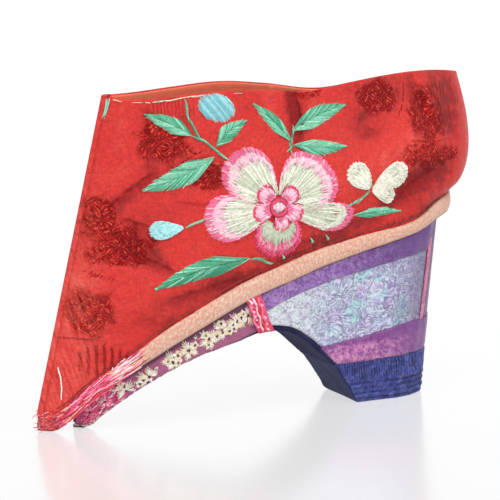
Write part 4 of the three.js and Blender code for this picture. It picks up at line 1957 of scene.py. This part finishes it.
@dataclass
class Binding:
    """The peach tape round the foot of the upper, with the red roll above it and its worn silk."""

    upper: Upper
    face_rings: int = 5
    spacing: float = 0.7
    rows: int = 34
    worn_to: float = -40.0
    roll: float = 0.44
    roll_turns: int = 8
    rings: Table = field(init=False)
    tree: BVHTree = field(init=False)

    def shape(self) -> Table:
        """Works out the tape's rings, with its wear.

        Returns:
            The rings, in millimetres.
        """
        wall = PackedWall.read("binding").rings
        stations = run_of(wall[2])
        wanted = np.linspace(0.0, stations[-1], round(stations[-1] / self.spacing))
        looped = np.concatenate([wall[-2:], wall, wall[:3]])
        knots = run_of(looped)
        first, last = knots[2], knots[2 + len(wall)]
        finer = hermite(looped, knots, np.linspace(first, last, self.rows, endpoint=False))
        rings = hermite(finer.transpose(1, 0, 2), stations, wanted).transpose(1, 0, 2)
        low, high = rings[..., 2].min(axis=0), rings[..., 2].max(axis=0)
        rings[..., 2] += SAG.at(rings[..., 0], (rings[..., 2] - low) / (high - low))
        out = unit(rings - rings.mean(axis=0))
        flat = rings.reshape(-1, 3)
        worn = 1.0 / (1.0 + np.exp((flat[:, 0] - self.worn_to) / 3.0))
        height = 0.12 * cloud_at(flat, 3.2, 5.0) + worn * (0.3 * cloud_at(flat, 2.2, 9.0) - 0.15)
        self.rings = wall[: self.face_rings].copy()
        self.rings[..., 2] += SAG.at(self.rings[..., 0], np.linspace(0.0, 1.0, self.face_rings)[:, None])
        return rings + out * height.reshape(rings.shape[:2])[..., None]

    def edge_of(self, level: float, x: float, side: Side) -> float:
        """Height above the floor of the tape's face.

        Args:
            level: Share of the tape's width, 0 at its lower edge.
            x: Place along the shoe.
            side: Flank.

        Returns:
            The height.
        """
        return height_on(self.rings[0] * (1 - level) + self.rings[-1] * level, x, side)

    def build(self) -> None:
        """Makes the tape, its roll and its loose silk."""
        rings = self.shape()
        u = round_shoe(rings)
        v = np.linspace(0.0, 14.0, len(rings))[:, None] * np.ones_like(u)
        mesh = cloth_mesh("tape", rings, np.stack([u, v], axis=-1))
        tape = shown("binding_tape", mesh, "binding_tape", TapeFinish().material())
        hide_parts("binding")
        self.tree = tree_of(mesh)
        self.make_roll()
        for side, seed in ((Side.NEAR, 11), (Side.FAR, 12)):
            self.floats(side, random.Random(seed))
            self.ticks(side, random.Random(seed + 4))
        self.fringe(random.Random(17))

    def make_roll(self) -> None:
        """Makes the narrow red roll of cloth above the tape."""
        top = self.rings[-1]
        stations = run_of(top)
        line = hermite(top, stations, np.linspace(0.0, stations[-1], 260))
        inward = np.roll(line, -2, axis=0) - np.roll(line, 2, axis=0)
        normal = unit(np.stack([inward[:, 1], -inward[:, 0], np.zeros(len(line))], axis=1))
        line = line - normal * 0.25 + np.array([0.0, 0.0, 0.3])
        rows = []
        for k in range(self.roll_turns):
            angle = 2 * math.pi * k / self.roll_turns
            away = normal * math.cos(angle) + np.array([0.0, 0.0, math.sin(angle)])
            lumps = 1.0 + 0.14 * cloud_at(line, 2.6, 4.0 + k)
            rows.append(line + away * (self.roll * lumps)[:, None])
        rows = np.stack(rows)
        rows[:, -1] = rows[:, 0]
        u = line[:, 0][None, :] + np.zeros((self.roll_turns, 1)) + 100.0
        v = np.linspace(0.0, 3.0, self.roll_turns)[:, None] * np.ones_like(u)
        finish = PlainClothFinish("roll_cloth", "#FF4228", "#FF6E50", "#C02A20", 0.36, 0.5, 0.4, True)
        mesh = cloth_mesh("roll", rows, np.stack([u, v], axis=-1))
        shown("binding_roll", mesh, "damask", finish.material())

    def fringe(self, dice: random.Random) -> None:
        """Lets worn fibres hang from the tip of the toe.

        Args:
            dice: Source of their differences.
        """
        needle = Needlework("toe_fringe", self.tree, Side.NEAR, dice, "binding_tape", gauge=0.12)
        for _ in range(70):
            x, y, z = dice.uniform(-66.0, -61.5), dice.uniform(-1.6, 1.6), dice.uniform(0.8, 6.5)
            turn = dice.uniform(2.4, 4.4)
            course = []
            for _ in range(5):
                course.append((x, y, z))
                turn += dice.uniform(-0.3, 0.5)
                x, z = x + 0.55 * math.cos(turn), z + 0.45 * math.sin(turn)
                y += dice.uniform(-0.25, 0.25)
            tone = dice.choice((Silk.PINK, Silk.ROSE, Silk.SCARLET, Silk.BLUSH, Silk.CRIMSON))
            needle.loose(course, tone, dice.uniform(0.06, 0.13))
        needle.finish()

    def floats(self, side: Side, dice: random.Random) -> None:
        """Lays worn silk along the front of the tape.

        Args:
            side: Flank.
            dice: Source of the threads' differences.
        """
        needle = Needlework(f"{side.label}_worn_silk", self.tree, side, dice, "binding_tape", gauge=0.16)
        ends = {-58.0: (Silk.ROSE, Silk.SCARLET, Silk.PEACH, Silk.CRIMSON, Silk.SCARLET, Silk.PINK),
                -48.0: (Silk.ROSE, Silk.PINK, Silk.ROSE, Silk.CRIMSON, Silk.BLUSH, Silk.SCARLET,
                        Silk.CRIMSON),
                -30.0: (Silk.PINK, Silk.BLUSH, Silk.WHITE, Silk.PEACH, Silk.ROSE)}
        for _ in range(260):
            x = dice.triangular(-65.5, -42.0, -56.0)
            length = min(dice.uniform(1.6, 3.6 if x < -61.0 else 9.0), dice.uniform(-40.0, -36.0) - x)
            level = dice.uniform(0.06, 0.94)
            drift = dice.uniform(-0.3, 0.3) if x < -60.0 else dice.uniform(-0.2, 0.14)
            spots = []
            for k in range(6):
                at = x + length * k / 5
                share = min(0.97, max(0.04, level + drift * k / 5 + dice.uniform(-0.025, 0.025)))
                spots.append((at, self.edge_of(share, at, side)))
            tones = next(tones for end, tones in ends.items() if x + length * level * 0.6 < end)
            needle.thread(spots, dice.choice(tones), gauge=dice.uniform(0.1, 0.2), lift=0.15)
        needle.finish()

    def ticks(self, side: Side, dice: random.Random) -> None:
        """Sews the small stitches along the tape's upper edge and along the collar, and a dark thread above
        the roll as painted shade.

        Args:
            side: Flank.
            dice: Source of the stitches' differences.
        """
        needle = Needlework(f"{side.label}_edge_stitches", self.upper.tree, side, dice)
        for start, end, pitch in ((-2.0, 17.0, 0.9), (33.0, 47.0, 1.1)):
            x = start
            while x < end:
                z = self.edge_of(1.0, x, side) + 0.9
                spots = [(x, z), (x + dice.uniform(-0.4, 0.9), z + dice.uniform(0.6, 1.5))]
                needle.thread(spots, Silk.INK, gauge=0.14, lift=0.35, base=0.3)
                x += pitch * dice.uniform(0.5, 1.6)
        # A dark red thread just above the roll is painted shade in the groove between the roll and the
        # damask.
        spots = [(x / 10, self.edge_of(1.0, x / 10, side) + 0.95) for x in range(-620, 560, 15)]
        for start in range(0, len(spots) - 6, 5):
            needle.thread(spots[start : start + 7], Silk.WINE, gauge=0.15, lift=0.0, base=0.05)
        for k in range(4):
            x = -45.5 + 0.32 * k
            spots = [(x + dice.uniform(-0.1, 0.1), 90.3), (x - 0.7, 87.3),
                     (x - 1.3, 84.9 + dice.uniform(-0.8, 0.8))]
            needle.thread(spots, dice.choice((Silk.MINT, Silk.FOAM, Silk.PINE)), gauge=0.18, lift=0.15)
        for x, z in ((8.6, 49.3), (13.5, 49.7), (0.0, 45.4)):
            for k in range(3):
                spots = [(x + 0.3 * k, z + 1.3 - 0.3 * k), (x + 0.5 + 0.3 * k, z - 0.6)]
                needle.thread(spots, dice.choice((Silk.MINT, Silk.FOAM)), gauge=0.15, lift=0.3, base=0.25)
        for _ in range(22):
            x = dice.uniform(-45.0, -12.0)
            ends = (x, x + dice.uniform(1.2, 3.4))
            spots = [(end, height_on(self.upper.outer[-1], end, side) - dice.uniform(0.25, 0.6))
                     for end in ends]
            silk = dice.choice((Silk.SAND, Silk.CREAM, Silk.MINT, Silk.PEACH))
            needle.thread(spots, silk, gauge=0.13, lift=0.1)
        if side is Side.NEAR:
            spots = [(-60.8, 17.7), (-60.2, 15.0), (-60.1, 12.0), (-60.5, 8.7)]
            needle.thread(spots, Silk.WHITE, lift=0.3, base=0.3)
        needle.finish()


@dataclass
class Forefoot:
    """The plum ribbon round the front of the sole, with its woven flowers."""

    overhang: float = 1.5
    drop: float = 1.0
    blossoms: tuple[Place, ...] = (
        (-43.4, 11.6), (-37.4, 15.3), (-31.3, 19.4), (-26.6, 22.1),
        (-20.9, 24.9), (-17.3, 27.2), (-12.8, 29.2), (-9.4, 30.6),
    )
    pale: tuple[Place, ...] = ((-52.2, 4.4), (-48.6, 7.6))
    tree: BVHTree = field(init=False)

    def build(self) -> None:
        """Makes the ribbon and its flowers."""
        mesh = softened("forefoot_sole", 0.42)
        places, _ = points_of(mesh)
        x, z = places[:, 0].copy(), places[:, 2].copy()
        edges = np.arange(-57.0, -3.0, 1.5)
        low = [z[np.abs(x - e) < 1.0].min(initial=99.0) for e in edges]
        high = [z[np.abs(x - e) < 1.0].max(initial=-9.0) for e in edges]
        bottom, top = np.interp(x, edges, low), np.interp(x, edges, high)
        share = (z - bottom) / np.maximum(0.5, top - bottom)
        mark(mesh, "height", share)
        drawn = np.interp(x, (-56.0, -50.0, -14.0, -4.0), (0.2, self.overhang, self.overhang, 0.5))
        below = np.clip(1.0 - share, 0.0, 1.0) ** 2
        places[:, 2] = np.maximum(0.05, z - drawn * below)
        places[:, 1] += 0.35 * np.sign(places[:, 1]) * below
        move_points(mesh, places)
        ribbon = shown("forefoot_ribbon", mesh, "sole_ribbon", RibbonFinish().material())
        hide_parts("forefoot_sole")
        self.tree = tree_of(mesh)
        for side, seed in ((Side.NEAR, 31), (Side.FAR, 32)):
            self.brocade(side, random.Random(seed))

    def blossom(self, needle: Needlework, spot: Place, tones: Sequence[Silk], size: float) -> None:
        """Weaves one flower.

        Args:
            needle: The work that it goes into.
            spot: Its middle.
            tones: Its colours.
            size: Its half width.
        """
        dice = needle.dice
        turn = dice.uniform(0, 72)
        for k in range(5):
            angle = turn + 72 * k + dice.uniform(-9, 9)
            reach = size * dice.uniform(0.85, 1.1)
            for off in (-24, -12, 0, 12, 24):
                end = reach * (1 - abs(off) / 90)
                spots = [beside(spot, angle + off * 0.7, 0.45), beside(spot, angle + off, end)]
                needle.thread(spots, dice.choice(tones), lift=0.12, base=0.1)
        spots = [beside(spot, turn, -0.4), beside(spot, turn, 0.4)]
        needle.thread(spots, Silk.INK, gauge=0.3, lift=0.2, base=0.2)

    def brocade(self, side: Side, dice: random.Random) -> None:
        """Weaves the flowers of one flank.

        Args:
            side: Flank.
            dice: Source of their differences.
        """
        needle = Needlework(f"{side.label}_ribbon_flowers", self.tree, side, dice, "sole_ribbon", 1.4)
        cream = (Silk.SAND, Silk.CREAM, Silk.SAND, Silk.WHITE)
        for x, z in self.blossoms:
            self.blossom(needle, (x, z - self.drop), cream, 3.2)
            for _ in range(3):
                near = (x + dice.uniform(-3.4, 3.4), z - self.drop + dice.uniform(-2.0, 2.0))
                self.blossom(needle, near, cream, 1.5)
        for spot in self.pale:
            self.blossom(needle, spot, (Silk.PINK, Silk.ROSE, Silk.BLUSH), 2.1)
        for _ in range(90):
            x = dice.uniform(-54.5, -45.0)
            spot = (x, 0.86 * (x + 53.5) + 3.2 + dice.uniform(-3.0, 3.4))
            silk = dice.choice((Silk.PINK, Silk.ROSE, Silk.BLUSH, Silk.WHITE, Silk.CRIMSON, Silk.PINK))
            end = beside(spot, dice.uniform(10, 75), dice.uniform(0.8, 2.4))
            needle.thread([spot, end], silk, gauge=0.17, lift=0.1)
        for a, b in zip(self.blossoms, self.blossoms[1:]):
            for share in (0.35, 0.65):
                spot = (a[0] + (b[0] - a[0]) * share, a[1] + (b[1] - a[1]) * share + dice.uniform(-1.6, 1.6))
                for _ in range(3):
                    end = beside(spot, dice.uniform(0, 360), dice.uniform(0.9, 1.5))
                    silk = dice.choice((Silk.CREAM, Silk.SAGE, Silk.PINK))
                    needle.thread([spot, end], silk, gauge=0.18, lift=0.1)
        needle.finish()


@dataclass
class Heel:
    """The heel: its brocade block, the silk bands laid round it and its wrapped foot."""

    binding: Binding
    turn_at: float = 38.0
    band_depth: float = 0.32
    band_wall: float = 0.5
    levels: int = 12
    columns: int = 60
    tree: BVHTree = field(init=False)

    def surface(self, x: float, z: float, side: Side) -> Optional[Table]:
        """The block's flank at a place seen from the side.

        Args:
            x: Place along the shoe.
            z: Height.
            side: Flank.

        Returns:
            The place and the normal as six numbers, or nothing off the block.
        """
        hit = on_flank(self.tree, (x, z), side)
        return None if hit is None else np.array([*(hit[0] / MM), *hit[1]])

    def back(self, angle: float, z: float) -> Optional[Table]:
        """The block's back at an angle round its upright middle line.

        Args:
            angle: Degrees, -90 on the near side and 90 on the far side.
            z: Height.

        Returns:
            The place and the normal as six numbers, or nothing off the block.
        """
        turn = math.radians(angle)
        away = Vector((math.cos(turn), math.sin(turn), 0))
        start = Vector((self.turn_at, 0, z)) * MM + away * FAR_OUT * MM
        place, normal, _, _ = self.tree.ray_cast(start, -away)
        return None if place is None else np.array([*(place / MM), *normal])

    def front_at(self, z: float) -> float:
        """Where the block begins at a height.

        Args:
            z: The height.

        Returns:
            The place along the shoe.
        """
        x = self.turn_at
        while x > -8.0 and self.surface(x - 0.3, z, Side.NEAR) is not None:
            x -= 0.3
        return x

    def band(
        self, name: str, spans: Callable[[float], Place], finish: BandFinish, front: Optional[float]
    ) -> None:
        """Lays a band round the heel.

        Args:
            name: Name of the piece.
            spans: Lower and upper edge of the band at a place along the shoe.
            finish: Its look.
            front: Where it begins, or nothing for the block's front.
        """
        def level(x: float, row: int) -> float:
            """Height of a row of the band."""
            low, high = spans(x)
            return low + (high - low) * row / self.levels

        begins = []
        for row in range(self.levels + 1):
            begin = self.turn_at if front is None else front
            for _ in range(3 if front is None else 0):
                begin = self.front_at(level(begin, row))
            begins.append(begin)
        flanks = {}
        for side in Side:
            flanks[side] = []
            for k in range(self.columns):
                places = [begin + (self.turn_at - begin) * k / self.columns for begin in begins]
                flanks[side].append([self.surface(x, level(x, row), side) for row, x in enumerate(places)])
        table = flanks[Side.NEAR] + self.round_back(level) + flanks[Side.FAR][::-1]
        rows = np.array([c for c in table if all(p is not None for p in c)], dtype=float)
        log.info("%s: %d of %d columns", name, len(rows), len(table))
        self.sheet(name, rows, finish)

    def round_back(self, level: Callable[[float, int], float]) -> list:
        """The columns of a band behind its straight flanks.

        Args:
            level: Height of a row of the band at a place along the shoe.

        Returns:
            The places and normals of each column, or nothing off the block.
        """
        made = []
        for angle in range(-90, 91, 3):
            column, x = [], self.turn_at
            for row in range(self.levels + 1):
                for _ in range(2):
                    hit = self.back(angle, level(x, row))
                    x = x if hit is None else hit[0]
                column.append(hit)
            made.append(column)
        return made

    def sheet(self, name: str, rows: Table, finish: BandFinish) -> None:
        """Makes a closed band from its table of places.

        Args:
            name: Name of the piece.
            rows: Places and normals, column by column.
            finish: Its look.
        """
        places, normals = rows[..., :3], rows[..., 3:]
        count, levels = rows.shape[:2]
        swell = self.band_depth * (0.55 + 0.45 * np.sin(np.pi * np.arange(levels) / (levels - 1)) ** 0.5)
        lumps = cloud_at(places.reshape(-1, 3), 4.0, 2.2).reshape(count, levels)
        run = run_of(places[:, levels // 2])[:, None] * np.ones(levels)
        cloth = np.stack([run, places[..., 2]], axis=-1)
        raised = places + normals * (swell + 0.07 * lumps)[..., None]
        mesh = cloth_mesh(name, raised, cloth, wall=self.band_wall)
        shown(name, mesh, "heel_brocade", finish.material())

    def build(self) -> None:
        """Makes the block, its bands and its foot."""
        block = softened("heel_block", 0.5)
        self.tree = tree_of(block)
        piece = shown("heel_brocade", block, "heel_brocade", BrocadeFinish().material())
        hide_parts("heel_block")

        def under_tape(x: float) -> Place:
            """Edges of the violet band.

            Args:
                x: Place along the shoe.

            Returns:
                Its lower and its upper edge.
            """
            top = self.binding.edge_of(0.0, x, Side.NEAR)
            drop = 6.5 + 1.6 * min(1.0, max(0.0, (x + 8.0) / 60.0)) + float(SAG.at(x, 0.0))
            return top - drop, top - 0.4

        def over_cap(x: float) -> Place:
            """Edges of the magenta band."""
            return (float(np.interp(x, (16.0, 30.0, 45.0, 60.0), (12.6, 12.8, 13.5, 13.7))),
                    float(np.interp(x, (15.0, 27.0, 34.0, 43.0, 60.0), (18.0, 19.7, 21.1, 22.7, 23.5))))

        violet = BandFinish("violet_band", "#A26EC8", "#C69EE0", "#662E88")
        magenta = BandFinish("magenta_band", "#BC5CB0", "#F0A4D0", "#742C8A", 26.0, 52.0, 16.6)
        self.band("violet_band", under_tape, violet, -7.0)
        self.band("magenta_band", over_cap, magenta, None)
        self.strips()
        self.cap()

    def cap(self) -> None:
        """Makes the cloth-wrapped foot, with its layers and its worn lower edge."""
        cap = softened("heel_cap", 0.4)
        places, normals = points_of(cap)
        x, z = places[:, 0].copy(), places[:, 2]
        mark(cap, "flank", np.clip(1.3 + normals[:, 0] * 2.2, 0.0, 1.0))
        slant = np.interp(x, (16.0, 30.0, 45.0, 60.0), (0.1, 0.3, 1.1, 1.3))
        z += slant * np.clip((z - 7.0) / 4.0, 0.0, 1.0)
        wavy = 2 * np.pi * z / 1.9 + 1.8 * cloud_at(places, 7.0, 1.0)
        layered = np.where(z < 6.5, np.sin(wavy), 0)
        lumps = 0.3 * cloud_at(places, 5.0, 7.0) + 0.1 * cloud_at(places, 2.2, 5.0)
        height = (0.2 * layered * (normals[:, 0] > -0.5) + lumps) * ((z > 0.4) & (z < 11.6))
        low = np.clip(1.0 - z / 1.6, 0.0, 1.0)[:, None] ** 2
        drawn_in = (np.array([[36.0, 0.0, 0.0]]) - places) * np.array([[1.0, 1.0, 0.0]])
        drawn_in /= np.maximum(1.0, np.linalg.norm(drawn_in, axis=1, keepdims=True))
        move_points(cap, places + normals * (height[:, None] + 0.12) + drawn_in * low * 0.8)
        piece = shown("heel_cap", cap, "cap_cloth", CapFinish().material())
        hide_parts("heel_cap")

    def strips(self) -> None:
        """Lays the narrow pink strips at the back corners."""
        finish = BandFinish("pink_strip", "#E85A98", "#FF8CB8", "#A03A78", 60.0, 90.0)
        for side in Side:
            columns = [[self.back(side.value * angle, z) for z in np.linspace(22.8, 46.5, 40)]
                       for angle in np.linspace(38.5, 48.0, 6)]
            if side is Side.NEAR:
                columns = columns[::-1]
            self.sheet(f"{side.label}_pink_strip", np.array(columns, dtype=float), finish)


@dataclass
class Braid:
    """The red braid that hides the join of ribbon and heel."""

    top: Place = (-8.2, 34.8)
    bottom: Place = (-4.7, 25.0)
    width: float = 4.6
    lanes: int = 6

    def down(self, share: float) -> Place:
        """A place on the braid's middle line, from its top down."""
        return tuple(a + (b - a) * share for a, b in zip(self.top, self.bottom))

    def build(self) -> None:
        """Makes the braid's core and its plaited threads."""
        core = softened("shank_braid", 0.3)
        places, _ = points_of(core)
        places[:, 2] += 1.1 * np.clip((27.5 - places[:, 2]) / 4.0, 0.0, 1.0)
        places[:, 0] += 0.1 * (places[:, 0] + 6.3 + 0.35 * (places[:, 2] - 29.4))
        move_points(core, places)
        finish = PlainClothFinish("braid_core", "#F2455F", "#FF7088", "#A81F3A", 0.4, 0.6, 0.4)
        piece = shown("shank_braid", core, "braid", finish.material())
        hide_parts("shank_braid")
        tree = tree_of(core)
        for side, seed in ((Side.NEAR, 41), (Side.FAR, 42)):
            dice = random.Random(seed)
            self.plait(Needlework(f"{side.label}_braid_threads", tree, side, dice, "braid", 0.9))

    def plait(self, needle: Needlework) -> None:
        """Lays the lanes and the pale edge stitches of one flank.

        Args:
            needle: The work that they go into.
        """
        dice = needle.dice
        for lane in range(self.lanes):
            away = (lane / (self.lanes - 1) - 0.5) * (self.width - 1.0)
            spots = []
            for k in range(15):
                x, z = self.down(k / 14)
                spots.append((x + away + 0.3 * math.sin(k / 14 * 16 + lane * 2.1), z))
            silk = (Silk.PINK, Silk.ROSE, Silk.BLUSH, Silk.SCARLET)[lane % 4]
            needle.thread(spots, silk, gauge=0.42, lift=0.1, base=0.1)
        for k in range(16):
            x, z = self.down(dice.uniform(0.02, 0.98))
            x += (-1 if k < 12 else 1) * (self.width / 2 - dice.uniform(0.4, 1.1))
            spots = [(x - 0.35, z + dice.uniform(0.2, 0.6)), (x, z), (x + 0.35, z - dice.uniform(0.2, 0.7))]
            needle.thread(spots, dice.choice((Silk.WHITE, Silk.BLUSH)), gauge=0.3, lift=0.1, base=0.35)
        needle.finish()


@dataclass
class Soles:
    """The insole inside and the navy cloth under the sole."""

    swell: float = 0.14
    front_of_heel: float = 19.0

    def build(self) -> None:
        """Makes both."""
        insole = softened("insole", 0.5)
        finish = PlainClothFinish("insole_cloth", "#E4D9C2", "#EFE6D2", "#A08E72", 0.6, 0.9, 0.8)
        piece = shown("insole", insole, "insole_cloth", finish.material())
        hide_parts("insole")
        outsole = softened("outsole", 0.42)
        places, normals = points_of(outsole)
        x, z = places[:, 0], places[:, 2]
        edges = np.arange(-57.0, 21.0, 1.0)
        low = [z[np.abs(x - e) < 0.8].min(initial=99.0) for e in edges]
        mark(outsole, "height", np.clip(z - np.interp(x, edges, low), 0.0, 1.0))
        joined = np.clip(places[:, :1] - self.front_of_heel, 0.0, 1.0)
        tucked = joined * np.array([[0.9, 0.0, -1.3]])
        move_points(outsole, places + normals * (self.swell + 0.12 * joined) + tucked)
        piece = shown("outsole", outsole, "outsole_cloth", OutsoleFinish().material())
        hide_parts("outsole")


@dataclass
class Studio:
    """Camera, floor and lamps."""

    azimuth: float = -26.0
    elevation: float = 10.3
    distance: float = 700.0
    target: tuple[float, float, float] = (-1.4, 0.0, 43.5)
    aim_right: float = -0.52
    aim_up: float = 1.56
    view_width: float = 140.4  # width of the view at the target
    sensor: float = 36.0
    floor_half: float = 4000.0
    floor_glow: float = 0.65
    sky: float = 0.78
    sun: float = 2.3
    glint: float = 0.9

    def camera(self) -> None:
        """Places the camera at the photograph's angle to the shoe."""
        turn, rise = math.radians(self.azimuth), math.radians(self.elevation)
        back = Vector((math.sin(turn) * math.cos(rise), -math.cos(turn) * math.cos(rise), math.sin(rise)))
        right = (-back).cross(Vector((0, 0, 1))).normalized()
        up = right.cross(-back)
        aim = Vector(self.target) + right * self.aim_right + up * self.aim_up
        lens = bpy.data.cameras.new("camera")
        lens.sensor_width = self.sensor
        lens.lens = self.sensor * self.distance / self.view_width
        lens.clip_start, lens.clip_end = 0.01, 50.0
        eye = bpy.data.objects.new("camera", lens)
        eye.location = (aim + back * self.distance) * MM
        eye.rotation_mode = "QUATERNION"
        eye.rotation_quaternion = (-back).to_track_quat("-Z", "Y")
        bpy.context.scene.collection.objects.link(eye)
        bpy.context.scene.camera = eye

    def floor(self) -> None:
        """Lays the white, slightly glossy floor."""
        form = bmesh.new()
        bmesh.ops.create_grid(form, x_segments=1, y_segments=1, size=self.floor_half * MM)
        coat = Coat("floor_board", 0.19, 0.0, 1.0)
        coat.feed("Base Color", (0.08, 0.08, 0.08, 1.0))
        coat.feed("IOR", 1.8)
        coat.feed("Emission Color", (1.0, 1.0, 1.0, 1.0))
        coat.feed("Emission Strength", self.floor_glow)
        board = bpy.data.objects.new("floor", meshed(form, "floor"))
        board.data.materials.append(coat.material)
        bpy.context.scene.collection.objects.link(board)

    def lamp(self, name: str, away: tuple[float, float, float], power: float, spread: float) -> None:
        """Hangs a soft lamp far away.

        Args:
            name: Name of the lamp.
            away: Direction from the shoe to the lamp.
            power: Its strength in watts for a square metre.
            spread: Its width as seen from the shoe, in degrees.
        """
        data = bpy.data.lights.new(name, "SUN")
        data.energy, data.angle = power, math.radians(spread)
        lamp = bpy.data.objects.new(name, data)
        lamp.location = Vector(away)
        lamp.rotation_mode = "QUATERNION"
        lamp.rotation_quaternion = Vector(away).to_track_quat("Z", "Y")
        bpy.context.scene.collection.objects.link(lamp)

    def build(self) -> None:
        """Sets up the studio."""
        self.camera()
        self.floor()
        self.lamp("key", (-0.3, -0.42, 1.0), self.sun, 40.0)
        self.lamp("glint", (0.5, -0.8, 0.45), self.glint, 22.0)
        world = bpy.data.worlds.new("studio")
        world.use_nodes = True
        world.node_tree.nodes["Background"].inputs[0].default_value = (1.0, 1.0, 1.0, 1.0)
        world.node_tree.nodes["Background"].inputs[1].default_value = self.sky
        bpy.context.scene.world = world
        bpy.context.scene.view_settings.view_transform = "Standard"


def main() -> None:
    """Dresses the shoe, piece by piece."""
    logging.basicConfig(level=logging.INFO, format="%(message)s")
    Studio().build()
    for draw in (draw_weave, draw_soil, draw_threads, draw_crease):
        draw()
    upper = Upper()
    upper.build()
    for side, seed in ((Side.NEAR, 21), (Side.FAR, 22)):
        Embroidery(upper.tree, side, seed).build()
    binding = Binding(upper)
    binding.build()
    for part in (Forefoot(), Heel(binding), Braid(), Soles()):
        part.build()


if __name__ == "__main__":
    main()
